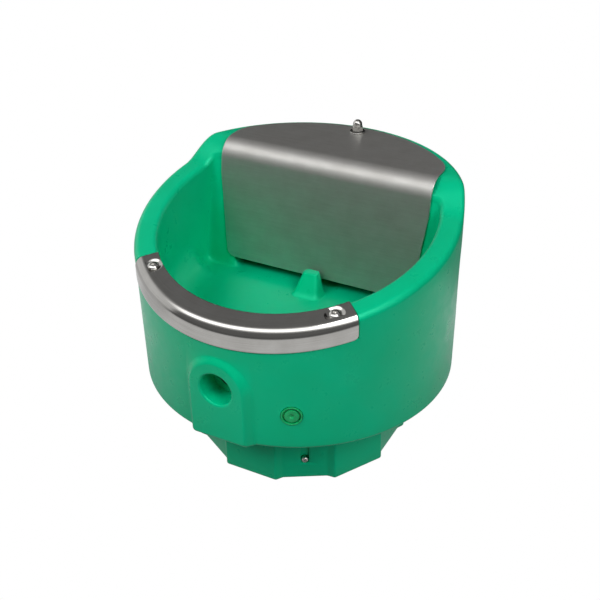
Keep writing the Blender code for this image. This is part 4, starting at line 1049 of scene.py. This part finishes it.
@dataclass
class LipGuard:
    """Stainless sheet bent over the front of the rim, with a pressed dimple round each screw."""

    shell: MouldedShell
    bend: float = 10.5 * MM
    corner: float = 5 * MM
    edge_back: float = 1 * MM
    edge_round: float = 0.5 * MM
    dimple_edge_r: float = 12.5 * MM
    dimple_depth: float = 2.5 * MM
    dimple_wall: float = 5 * MM
    hole_r: float = 4.3 * MM
    columns: int = 260

    def drop_at(self, from_end: float) -> float:
        """Returns the side's depth, cut back round at its lower corners."""
        short = self.corner - min(from_end, self.corner)
        round_part = math.sqrt(max(self.corner ** 2 - short ** 2, 0.0))
        return self.shell.guard_drop - self.corner + round_part

    def dimple(self, point: Vector) -> float:
        """Returns how deep the sheet is pressed at a point near a screw."""
        centres = [polar(self.shell.screw_r, turn) for turn in self.shell.screw_degs]
        reach = min(math.hypot(point.x - centre.x, point.y - centre.y) for centre in centres)
        edge = self.dimple_edge_r
        return self.dimple_depth * (1 - ease(reach, edge - self.dimple_wall, edge))

    def section(self, from_end: float) -> list[tuple[float, float, float]]:
        """Lays out the bent sheet's section at a distance from the guard's end.

        Args:
            from_end: Distance along the rim from the nearer end.

        Returns:
            (radius, fall, distance across the sheet) points as a loop.
        """
        edge = self.shell.radius + self.shell.guard_proud
        start = self.shell.inside_r() + self.edge_back
        drop = self.drop_at(from_end)
        flat = edge - self.bend
        cells, nose = 22, self.edge_round
        tuck = nose * 0.3
        back = edge - self.shell.sheet
        small = self.bend - self.shell.sheet
        swings = quarter(10)[1:]
        outer = [(start + nose + (flat - start - nose) * i / cells, 0.0) for i in range(cells + 1)]
        outer += [(flat + self.bend * math.sin(a), self.bend * (math.cos(a) - 1)) for a in swings]
        outer += [(edge, -self.bend - (drop - nose - self.bend) * i / 8) for i in range(1, 9)]
        tip = [(edge - tuck, -drop + tuck), (edge - nose, -drop), (back + nose, -drop),
               (back + tuck, -drop + tuck)]
        inner = [(back, -drop + nose), (back, -self.bend)]
        inner += [(flat + small * math.cos(a), small * math.sin(a) - self.bend) for a in swings]
        inner += [(flat - (flat - start - nose) * i / cells, -self.shell.sheet)
                  for i in range(1, cells + 1)]
        lip = [(start + tuck, -self.shell.sheet + tuck), (start, -self.shell.sheet + nose),
               (start, -nose), (start + tuck, -tuck)]
        points = outer + tip + inner + lip
        result, travelled = [], 0.0
        for before, (radius, fall) in zip([points[0]] + points, points):
            travelled += math.hypot(radius - before[0], fall - before[1])
            result.append((radius, fall, travelled))
        return result

    def stations(self) -> list[tuple[float, float]]:
        """Returns (angle, distance from the nearer end), closer together at the ends."""
        length = math.radians(self.shell.guard_half_deg) * self.shell.radius
        half = [d * MM for d in (0.0, 0.08, 0.25, 0.5, 1.0, 2.0, 3.5, 5.5, 8.0)]
        near = half[-1]
        count = self.columns // 2
        half += [near + (length - near) * i / count for i in range(1, count + 1)]
        left = [(math.degrees(d / self.shell.radius) - self.shell.guard_half_deg, d) for d in half]
        return left + [(-turn, d) for turn, d in reversed(left[:-1])]

    def make(self) -> None:
        """Builds the guard, writes its brushing direction and dresses it."""
        bm = bmesh.new()
        uv = bm.loops.layers.uv.new("grain")
        rows, marks = [], {}
        for turn, from_end in self.stations():
            row = []
            for radius, fall, across in self.section(from_end):
                point = polar(radius, turn)
                point.z = self.shell.rim_height(point.y) + fall
                if fall > -self.shell.sheet * 1.5 and radius < self.shell.radius - self.bend:
                    point.z -= self.dimple(point)
                vert = bm.verts.new(point)
                marks[vert] = (math.radians(turn) * self.shell.radius, across)
                row.append(vert)
            rows.append(row)
        join_rows(bm, rows)
        for row in (rows[0], rows[-1]):
            bm.faces.new(row)
        wrap = max(mark[1] for mark in marks.values())
        for face in bm.faces:
            values = [marks[loop.vert] for loop in face.loops]
            high = max(value[1] for value in values)
            for loop, (along, across) in zip(face.loops, values):
                loop[uv].uv = (along, across + (wrap if high - across > wrap / 2 else 0.0))
        bmesh.ops.recalc_face_normals(bm, faces=bm.faces)
        guard = new_object("lip_guard_sheet", bm, 30)
        for turn in self.shell.screw_degs:
            hole = rod("hole", self.hole_r, -8 * MM, 4 * MM, self.shell.seat_frame(turn), 32)
            combine(guard, hole, "DIFFERENCE")
        smooth(guard, 30)
        dress(guard, "bowl", Finish.GUARD, "lip_guard")


# Stainless valve cover

@dataclass
class ValveCover:
    """Stainless cover: a flat top cut to a circle, a bend, and a front that leans and tapers."""

    shell: MouldedShell
    radius: float = 187 * MM
    bend: float = 26 * MM
    bottom_z: float = 193 * MM
    corner: float = 11 * MM
    hole_r: float = 4.3 * MM
    edge_round: float = 0.35 * MM

    def half_width(self, z: float) -> float:
        """Returns the front's half width at a height."""
        return self.shell.plate_half + self.shell.plate_taper * min(0.0, z - self.shell.rim_z)

    def front_y(self, z: float) -> float:
        """Returns the front's face at a height."""
        return self.shell.plate_y_at_rim + self.shell.plate_lean * (z - self.shell.rim_z)

    def stations(self) -> list[tuple[float, float, float, float, float, float]]:
        """Lays out the sheet from its back to its lower edge.

        Returns:
            (outer y, outer z, inner y, inner z, half width, distance down the sheet) stations.
        """
        under = self.shell.back_z + self.shell.gap
        top = under + self.shell.sheet
        lean = math.atan(self.shell.plate_lean)
        centre_z = top - self.bend
        centre_y = self.front_y(centre_z) + self.bend / math.cos(lean)
        rows = []
        steps = 60
        # The round back needs closer stations towards its tip.
        for i in range(1, steps):
            y = self.radius - (self.radius - centre_y) * (i / steps) ** 2
            round_half = math.sqrt(self.radius ** 2 - y ** 2)
            half = smooth_min(round_half, self.shell.plate_half, self.corner)
            rows.append((y, top, y, under, half))
        sweep = math.pi / 2 - lean
        inner = self.bend - self.shell.sheet
        for i in range(25):
            a = math.pi / 2 + sweep * i / 24
            z = centre_z + self.bend * math.sin(a)
            rows.append((centre_y + self.bend * math.cos(a), z, centre_y + inner * math.cos(a),
                         centre_z + inner * math.sin(a), self.half_width(z)))
        back = self.shell.sheet / math.cos(lean)
        start = rows[-1][1]
        stop = self.bottom_z + self.corner
        for i in range(1, 12):
            z = start + (stop - start) * i / 12
            rows.append((self.front_y(z), z, self.front_y(z) + back, z, self.half_width(z)))
        for turn in range(0, 91, 10):
            a = math.radians(turn)
            z = self.bottom_z + self.corner * (1 - math.sin(a))
            half = self.half_width(z) - self.corner * (1 - math.cos(a))
            rows.append((self.front_y(z), z, self.front_y(z) + back, z, half))
        result, travelled = [], 0.0
        for before, row in zip([rows[0]] + rows, rows):
            travelled += math.hypot(row[0] - before[0], row[1] - before[1])
            result.append((*row, travelled))
        return result

    def make(self) -> None:
        """Builds the cover, writes its brushing direction and dresses it."""
        bm = bmesh.new()
        uv = bm.loops.layers.uv.new("grain")
        rows, marks = [], {}
        cells = 24
        # A column close to each side edge keeps the bend's shading straight there.
        near = 1 - 0.9 * MM / self.shell.plate_half
        spread = [-1.0, *(near * (2 * i / (cells - 2) - 1) for i in range(cells - 1)), 1.0]
        for outer_y, outer_z, inner_y, inner_z, half, travelled in self.stations():
            row = []
            for y, z, flip in ((outer_y, outer_z, 1), (inner_y, inner_z, -1)):
                for share in spread:
                    x = flip * half * share
                    vert = bm.verts.new((x, y, z))
                    marks[vert] = (x, travelled if flip > 0 else travelled + 1.0)
                    row.append(vert)
            rows.append(row)
        join_rows(bm, rows)
        for row in (rows[0], rows[-1]):
            for i in range(cells):
                bm.faces.new((row[i], row[i + 1], row[-i - 2], row[-i - 1]))
        for face in bm.faces:
            for loop in face.loops:
                loop[uv].uv = marks[loop.vert]
        bmesh.ops.recalc_face_normals(bm, faces=bm.faces)
        cover = new_object("cover_sheet", bm, 30)
        hole = rod("hole", self.hole_r, -MM, 4 * MM,
                   place((0, self.shell.stud_y, self.shell.back_z)), 40)
        combine(cover, hole, "DIFFERENCE")
        soften(cover, self.edge_round, 2, 60)
        smooth(cover, 40)
        dress(cover, "cover", Finish.SHEET, "valve_cover")


# Fixings, placed by Geometry Nodes

class Driver(Enum):
    """Kinds of recess in a screw's head."""

    HEXALOBE = "hexalobe"
    HEXAGON = "hexagon"


@dataclass
class ScrewPattern:
    """A Geometry Nodes tree that stands one screw on each of a row of marked points."""

    name: str

    def tree(self) -> Tree:
        """Returns the tree, with the screw, its size and its material as named inputs."""
        group = bpy.data.node_groups.new(self.name, "GeometryNodeTree")
        face = group.interface
        for name, kind in (("Points", "Geometry"), ("Screw", "Object"), ("Size", "Float"),
                           ("Finish", "Material")):
            face.new_socket(name, in_out="INPUT", socket_type="NodeSocket" + kind)
        face.new_socket("Screws", in_out="OUTPUT", socket_type="NodeSocketGeometry")
        given = add(group, "NodeGroupInput").outputs
        screw = add(group, "GeometryNodeObjectInfo", {"transform_space": "ORIGINAL"},
                    {"Object": given["Screw"]}).outputs["Geometry"]
        turn = add(group, "GeometryNodeInputNamedAttribute", {"data_type": "FLOAT_VECTOR"},
                   {"Name": "turn"}).outputs["Attribute"]
        stood = add(group, "GeometryNodeInstanceOnPoints", inputs={
            "Points": given["Points"], "Instance": screw, "Rotation": turn, "Scale": given["Size"],
        }).outputs["Instances"]
        solid = add(group, "GeometryNodeRealizeInstances", inputs={"Geometry": stood}).outputs[0]
        dressed = add(group, "GeometryNodeSetMaterial", inputs={
            "Geometry": solid, "Material": given["Finish"]}).outputs["Geometry"]
        add(group, "NodeGroupOutput", inputs={"Screws": dressed})
        return group

    def stand(self, name: str, screw: Object, frames: Sequence[Matrix],
              material: Material) -> Object:
        """Stands a screw on each frame and returns them as one plain mesh.

        Args:
            name: Name of the new object.
            screw: The screw, made at the origin along +Z, which is used up.
            frames: Where each screw stands.
            material: Material of the screws.

        Returns:
            The screws as one mesh object at the origin.
        """
        mesh = bpy.data.meshes.new(name)
        mesh.from_pydata([frame.translation for frame in frames], [], [])
        turns = mesh.attributes.new("turn", "FLOAT_VECTOR", "POINT")
        for item, frame in zip(turns.data, frames):
            item.vector = frame.to_euler("XYZ")
        row = bpy.data.objects.new(name, mesh)
        bpy.context.scene.collection.objects.link(row)
        modifier = row.modifiers.new("screws", "NODES")
        group = self.tree()
        modifier.node_group = group
        sockets = {item.name: item.identifier for item in group.interface.items_tree
                   if item.item_type == "SOCKET" and item.in_out == "INPUT"}
        modifier[sockets["Screw"]] = screw
        modifier[sockets["Size"]] = 1.0
        modifier[sockets["Finish"]] = material
        apply_modifiers(row)
        discard(screw)
        return row


@dataclass
class ButtonScrew:
    """Button-head machine screw with a driver recess and a threaded shank, made along +Z."""

    head_r: float
    head_h: float
    shank_r: float
    length: float
    recess_r: float
    recess_depth: float
    driver: Driver
    pitch: float = 1.25 * MM

    def recess(self, top: float) -> Object:
        """Returns the cutter of the driver recess."""
        if self.driver is Driver.HEXAGON:
            polars = [(self.recess_r, math.radians(60 * i)) for i in range(6)]
        else:
            turns = [2 * math.pi * i / 72 for i in range(72)]
            polars = [(self.recess_r * (0.86 + 0.14 * math.cos(6 * a)), a) for a in turns]
        outline = [(radius * math.cos(a), radius * math.sin(a)) for radius, a in polars]
        rings = [[Vector((0, 0, top - self.recess_depth))]]
        for depth, share in ((self.recess_depth - 0.5 * MM, 0.92), (0.15 * MM, 0.98),
                             (0.0, 1.03), (-1 * MM, 1.2)):
            rings.append([Vector((x * share, y * share, top - depth)) for x, y in outline])
        return loft("recess", rings)

    def make(self) -> Object:
        """Returns the screw, its head's seat at the origin."""
        rim_h = 0.35 * MM
        dome = [(self.head_r, rim_h)]
        dome += [(self.head_r * math.cos(a), rim_h + (self.head_h - rim_h) * math.sin(a))
                 for a in [math.radians(t) for t in range(8, 65, 7)]]
        flat, top = dome[-1]
        threads = []
        z = -1.5 * MM
        while z > -self.length + self.pitch:
            threads += [(self.shank_r, z), (self.shank_r - 0.55 * self.pitch, z - self.pitch / 2)]
            z -= self.pitch
        corners = [(0, -self.length), (self.shank_r - 0.8 * MM, -self.length)]
        corners += list(reversed(threads)) + [(self.shank_r, -1 * MM), (self.shank_r, 0)]
        corners += [(self.head_r - 0.15 * MM, 0), (self.head_r, 0.15 * MM)] + dome
        corners += [(flat - 0.1 * MM, top), (0, top)]
        screw = turned("screw", corners, Matrix.Identity(4), 48, angle=30)
        combine(screw, self.recess(top), "DIFFERENCE")
        smooth(screw, 30)
        return screw


@dataclass
class Fixings:
    """Screws of the lip guard and foot, and the washer and dome nut of the cover."""

    shell: MouldedShell
    seat: float = 2.2 * MM
    base_seat: float = 3.7 * MM
    guard_screw_turn: float = 20.0
    nut_z: float = 350 * MM
    nut_flat_r: float = 6.5 * MM
    nut_hex_h: float = 6.5 * MM
    nut_h: float = 15 * MM
    dome_r: float = 6.0 * MM
    bore_r: float = 4.3 * MM
    washer_r: float = 10 * MM

    def guard_screws(self) -> None:
        """Stands the two guard screws in their dimples."""
        pattern = ScrewPattern("guard_screw_pattern")
        for turn, side in zip(self.shell.screw_degs, ("left", "right")):
            frame = (self.shell.seat_frame(turn) @ Matrix.Translation((0, 0, -self.seat))
                     @ Matrix.Rotation(math.radians(self.guard_screw_turn), 4, "Z"))
            screw = ButtonScrew(head_r=7 * MM, head_h=4.2 * MM, shank_r=4 * MM, length=15 * MM,
                                recess_r=3.1 * MM, recess_depth=2.4 * MM, driver=Driver.HEXALOBE)
            piece = pattern.stand("guard_screw_" + side, screw.make(), [frame],
                                  Finish.BRIGHT.material())
            dress(piece, "bowl", Finish.BRIGHT, "lip_guard_screw_" + side)

    def foot_screws(self) -> None:
        """Stands the three foot screws at the lower ends of their slots."""
        sunk = Matrix.Translation((0, 0, -self.base_seat))
        frames = [self.shell.panel_frame(turn, self.shell.base_screw_z) @ sunk
                  for turn in self.shell.base_screw_degs]
        screw = ButtonScrew(head_r=5 * MM, head_h=5 * MM, shank_r=3 * MM, length=7 * MM,
                            recess_r=3.1 * MM, recess_depth=3.4 * MM, driver=Driver.HEXAGON,
                            pitch=1.0 * MM)
        piece = ScrewPattern("foot_screw_pattern").stand("foot_screws", screw.make(), frames,
                                                         Finish.BRIGHT.material())
        dress(piece, "bowl", Finish.BRIGHT, "base_screw_1", "base_screw_2", "base_screw_3")

    def dome_nut(self) -> None:
        """Makes the chamfered six-sided nut with its turned dome, and the washer below it."""
        frame = place((0, self.shell.stud_y, self.nut_z))
        high = self.nut_hex_h
        corner = self.nut_flat_r / math.cos(math.pi / 6)
        foot_r, brow_r = self.nut_flat_r * 0.98, self.nut_flat_r * 0.94
        nut = rod("cover_nut", corner, 0, high, frame, 6)
        cone = [(0, -MM), (foot_r, -MM), (foot_r, 0), (corner, 0.6 * MM), (corner, high - 0.9 * MM),
                (brow_r, high), (brow_r, high + MM), (0, high + MM)]
        combine(nut, turned("chamfer", cone, frame, 64), "INTERSECT")
        shoulder = self.nut_h - self.dome_r
        dome = [(0, high - 2 * MM), (self.dome_r, high - 2 * MM), (self.dome_r, shoulder)]
        dome += [(self.dome_r * math.cos(a), shoulder + self.dome_r * math.sin(a))
                 for a in [math.radians(t) for t in range(9, 90, 9)]] + [(0, self.nut_h)]
        combine(nut, turned("dome", dome, frame, 64), "UNION")
        thread = [(0, -MM), (self.bore_r, -MM), (self.bore_r, 6.8 * MM), (0, 8.5 * MM)]
        combine(nut, turned("thread", thread, frame, 40), "DIFFERENCE")
        smooth(nut, 25)
        dress(nut, "cover", Finish.BRIGHT, "cover_dome_nut")
        low, high = -1.9 * MM, -0.3 * MM
        edges = [(self.bore_r, low), (self.washer_r, low), (self.washer_r, high),
                 (self.bore_r, high)]
        washer = turned("cover_flat_washer", rounded(edges, 0.3 * MM, 3, ends=True), frame, 72,
                        closed=True, angle=50)
        dress(washer, "cover", Finish.BRIGHT, "cover_washer")

    def make(self) -> None:
        """Builds all the fixings."""
        self.guard_screws()
        self.foot_screws()
        self.dome_nut()


# Carried-over frame nodes

@dataclass
class CarriedNodes:
    """Frame nodes whose shape is right, which only get a better material."""

    nodes: dict
    brass: Sequence[str] = ("lip_guard_insert_left", "lip_guard_insert_right", "base_insert_1",
                            "base_insert_2", "base_insert_3", "cover_stud_insert", "inlet_tail",
                            "inlet_locknut", "valve_body", "heater_locknut")
    bright: Sequence[str] = ("cover_stud", "float_arm", "float_arm_pin", "heating_element",
                             "heater_gland")
    acetal: Sequence[str] = ("valve_nozzle", "valve_piston", "float_nut")
    rubber: Sequence[str] = ("inlet_gasket", "piston_seal", "heater_gasket", "drain_plug")
    floats: Sequence[str] = ("float",)

    def make(self) -> None:
        """Gives each node that is still shown its material."""
        for finish, names in ((Finish.BRASS, self.brass), (Finish.BRIGHT, self.bright),
                              (Finish.ACETAL, self.acetal), (Finish.RUBBER, self.rubber),
                              (Finish.FLOAT, self.floats)):
            for name in names:
                materials = self.nodes[name].data.materials
                materials.clear()
                materials.append(finish.material())
                LOG.info("%s: kept, %s", name, finish.material().name)


# Studio

def grey(value: float) -> tuple[float, float, float, float]:
    """Returns a linear grey."""
    return (value, value, value, 1.0)


def greys(stops: Sequence[tuple[float, float]]) -> list[tuple[float, tuple]]:
    """Returns the stops of a grey ramp from (position, grey) pairs."""
    return [(at, grey(value)) for at, value in stops]


class StudioTree:
    """Node helpers for the shaders of the studio's world and floor."""

    def __init__(self, tree: Tree) -> None:
        self.tree = tree

    def maths(self, operation: str, first: Value, second: Value) -> Socket:
        """Adds a maths node and returns its result's socket."""
        node = add(self.tree, "ShaderNodeMath", {"operation": operation}, {0: first, 1: second})
        return node.outputs[0]

    def along(self, at: Socket, direction: Sequence[float]) -> Socket:
        """Returns the socket of how far a vector reaches along a direction."""
        return add(self.tree, "ShaderNodeVectorMath", {"operation": "DOT_PRODUCT"},
                   {0: at, 1: direction}).outputs["Value"]

    def parts(self, at: Socket) -> bpy.types.NodeOutputs:
        """Returns the sockets of a vector's X, Y and Z."""
        return add(self.tree, "ShaderNodeSeparateXYZ", inputs={"Vector": at}).outputs

    def blend(self, share: Socket, first: Value, second: Value) -> Socket:
        """Mixes two colours and returns the result's socket."""
        return add(self.tree, "ShaderNodeMix", {"data_type": "RGBA"},
                   {0: share, 6: first, 7: second}).outputs[2]

    def glow(self, kind: str, colour: Value, strength: Value = 1.0) -> Socket:
        """Adds a Background or Emission shader and returns its socket."""
        return add(self.tree, "ShaderNode" + kind,
                   inputs={"Color": colour, "Strength": strength}).outputs[0]

    def by_ray(self, plain: Socket, glossy: Socket,
               camera: Socket) -> Socket:
        """Shows one shader to the camera, one to glossy rays and one to all others."""
        path = add(self.tree, "ShaderNodeLightPath").outputs
        for ray, shader in (("Is Glossy Ray", glossy), ("Is Camera Ray", camera)):
            node = add(self.tree, "ShaderNodeMixShader", inputs={0: path[ray], 1: plain, 2: shader})
            plain = node.outputs["Shader"]
        return plain


@dataclass(frozen=True)
class Lamp:
    """Soft rectangular lamp that faces the bowl.

    Attributes:
        name: Name of the lamp.
        at: Where it hangs.
        size: Width and height.
        power: Watts.
        sheen: True for a lamp that only glossy surfaces show.
    """

    name: str
    at: tuple[float, float, float]
    size: tuple[float, float]
    power: float
    sheen: bool = False

    def hang(self) -> None:
        """Hangs the lamp."""
        light = bpy.data.lights.new(self.name, "AREA")
        light.shape = "RECTANGLE"
        light.size, light.size_y = self.size
        light.energy = self.power
        lamp = bpy.data.objects.new(self.name, light)
        lamp.visible_glossy = self.sheen
        lamp.visible_diffuse = not self.sheen
        aim = Vector((0, 0, 0.2)) - Vector(self.at)
        turn = aim.to_track_quat("-Z", "Y").to_matrix().to_4x4()
        lamp.matrix_world = Matrix.Translation(Vector(self.at)) @ turn
        bpy.context.scene.collection.objects.link(lamp)


@dataclass
class Camera:
    """Camera at the photograph's angle.

    Its distance and offsets are in units of the bowl's radius, and its angles in degrees.
    """

    unit: float = 200 * MM
    azimuth: float = 28.377
    elevation: float = 31.608
    roll: float = -1.079
    distance: float = 6.206
    aim_x: float = 0.0164
    aim_y: float = -0.5278
    lens: float = 61.352
    sensor: float = 36.0
    target: tuple = (0.0, 0.0, 0.306)

    def make(self) -> None:
        """Places the camera."""
        turn, rise, roll = (math.radians(a) for a in (self.azimuth, self.elevation, self.roll))
        back = Vector((math.sin(turn) * math.cos(rise), -math.cos(turn) * math.cos(rise),
                       math.sin(rise)))
        right = Vector((math.cos(turn), math.sin(turn), 0.0))
        up = back.cross(right)
        across = right * math.cos(roll) + up * math.sin(roll)
        upright = up * math.cos(roll) - right * math.sin(roll)
        spot = (Vector(self.target) + back * self.distance * self.unit
                + across * self.aim_x * self.unit + upright * self.aim_y * self.unit)
        lens = bpy.data.cameras.new("camera")
        lens.lens = self.lens
        lens.sensor_width = self.sensor
        lens.sensor_fit = "HORIZONTAL"
        lens.clip_start = 0.01
        lens.clip_end = 100
        camera = bpy.data.objects.new("camera", lens)
        axes = Matrix((across, upright, back)).transposed()
        camera.matrix_world = Matrix.Translation(spot) @ axes.to_4x4()
        bpy.context.scene.collection.objects.link(camera)
        bpy.context.scene.camera = camera


@dataclass
class Studio:
    """Pale floor and soft surroundings, white to the camera, with softboxes for the gloss and
    painted light and shade on the floor in reflections.

    Attributes:
        ambient: Strength of the room that lights matt surfaces.
        room: Grey of the room from straight down (0) to straight up (1).
        arch: Grey of the softbox overhead, from the front horizon (0) over the zenith (0.5) to the
            back horizon (1).
        painted_floor_light: Grey that the floor glows with in reflections, by the distance from the
            axis in shares
        of 2 m: painted shade close round the bowl and a painted pool of light round it that fades
        further out.
        panel: Grey of the white panel on the left, also painted at three quarters as a glow on the
        floor below it.
        panel_edge: Direction behind which the panel stands.
        shade_side: Direction in which a painted shadow of the bowl darkens the floor's glow in
        reflections.
        lamps: Lamps round the bowl.
    """

    ambient: float = 0.8
    room: tuple = ((0.0, 0.06), (0.5, 0.12), (0.62, 0.18), (1.0, 0.13))
    arch: tuple = ((0.0, 0.18), (0.2, 0.2), (0.26, 0.9), (0.29, 3.0), (0.38, 3.0), (0.42, 0.9),
                   (0.47, 0.24), (0.56, 0.22), (0.73, 0.22), (0.78, 0.02), (1.0, 0.02))
    painted_floor_light: tuple = ((0.0, 0.3), (0.15, 0.4), (0.2, 0.85), (0.3, 0.9), (0.42, 0.62), (0.46, 0.18),
                    (1.0, 0.15))
    panel: float = 0.9
    panel_edge: tuple = (-0.54, 0.84, 0.0)
    shade_side: tuple = (0.2, 0.98, 0.0)
    lamps: tuple = (Lamp("key", (-1.0, -1.5, 1.95), (1.0, 1.0), 32),
                    Lamp("fill", (1.75, -1.0, 1.85), (1.0, 1.2), 33),
                    Lamp("back", (0.2, 1.7, 1.9), (1.4, 1.0), 5),
                    Lamp("sheen", (0.6, -0.45, 1.5), (0.6, 0.6), 6, sheen=True))

    def on_panel(self, nodes: StudioTree, at: Socket, start: float, stop: float,
                 blur: float) -> Socket:
        """Returns the mask of the panel on the left.

        Args:
            nodes: Tree that gets the nodes.
            at: Direction or point that is looked at.
            start: X where the panel is full.
            stop: X where it has faded out.
            blur: Half width of its soft edge.
        """
        side = span(nodes.tree, nodes.parts(at)["X"], 1.0, 0.0, start, stop)
        behind = span(nodes.tree, nodes.along(at, self.panel_edge), 0.0, 1.0, -blur, blur)
        return nodes.maths("MULTIPLY", side, behind)

    def surroundings(self) -> None:
        """Makes the world: dim for matt surfaces, softboxes for gloss, white for the camera."""
        world = bpy.data.worlds.new("studio")
        bpy.context.scene.world = world
        world.use_nodes = True
        tree = world.node_tree
        tree.nodes.clear()
        nodes = StudioTree(tree)
        way = add(tree, "ShaderNodeTexCoord").outputs["Generated"]
        parts = nodes.parts(way)
        room = ramp(tree, span(tree, parts["Z"], 0.0, 1.0, -1.0, 1.0), greys(self.room))
        turn = nodes.maths("ARCTAN2", parts["Z"], nodes.maths("MULTIPLY", parts["Y"], -1.0))
        arch = ramp(tree, nodes.maths("DIVIDE", turn, math.pi), greys(self.arch))
        seen = nodes.blend(self.on_panel(nodes, way, -0.78, -0.62, 0.05), arch, grey(self.panel))
        sky = nodes.by_ray(nodes.glow("Background", room, self.ambient),
                           nodes.glow("Background", seen), nodes.glow("Background", grey(1.0)))
        add(tree, "ShaderNodeOutputWorld", inputs={"Surface": sky})

    def floor(self) -> None:
        """Lays a large floor just under the foot, which the camera sees as white.

        In reflections it glows with painted light instead: painted shade close round the bowl, a
        painted pool of light round it that fades further out, a painted glow on the left and a
        painted shadow of the bowl behind it.
        """
        bm = bmesh.new()
        bmesh.ops.create_grid(bm, x_segments=1, y_segments=1, size=12.0)
        ground = new_object("studio_floor", bm)
        for vertex in ground.data.vertices:
            vertex.co.z = -0.2 * MM
        surface = SurfaceTree("pale_paper_floor")
        surface.set(Base_Color=grey(0.12), Roughness=0.6, Specular_IOR_Level=0.2)
        tree, at = surface.tree, surface.place()
        nodes = StudioTree(tree)
        reach = add(tree, "ShaderNodeVectorMath", {"operation": "LENGTH"}, {0: at}).outputs["Value"]
        # Painted light and shade of the floor's glow in reflections: painted shade close round the
        # bowl and a painted pool of light round it that fades further out.
        painted_floor_light = ramp(tree, span(tree, reach, 0.0, 1.0, 0.0, 2.0), greys(self.painted_floor_light))
        # A painted glow on the floor at the left, below the panel.
        lit = nodes.blend(self.on_panel(nodes, at, -0.5, -0.3, 0.1), painted_floor_light, grey(self.panel * 0.75))
        # A painted shadow of the bowl darkens the floor's glow behind it.
        shade = span(tree, nodes.along(at, self.shade_side), 1.0, 0.25, 0.4, 0.52)
        # The floor glows with this painted light and shade to glossy rays, though it is no lamp,
        # and shows plain white to the camera.
        seen = nodes.by_ray(surface.shader.outputs["BSDF"], nodes.glow("Emission", lit, shade),
                            nodes.glow("Emission", grey(1.0)))
        tree.links.new(seen, tree.nodes["Material Output"].inputs["Surface"])
        ground.data.materials.append(surface.material)

    def make(self) -> None:
        """Builds the studio."""
        self.floor()
        self.surroundings()
        for lamp in self.lamps:
            lamp.hang()
        bpy.context.scene.view_settings.view_transform = "Standard"


def main() -> None:
    """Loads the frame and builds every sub-assembly in order."""
    logging.basicConfig(level=logging.INFO, format="%(name)s %(message)s")
    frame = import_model()
    shell = MouldedShell()
    for part in (CarriedNodes(frame["nodes"]), shell, FillingPlug(), LipGuard(shell),
                 ValveCover(shell), Fixings(shell), Camera(), Studio()):
        part.make()


if __name__ == "__main__":
    main()
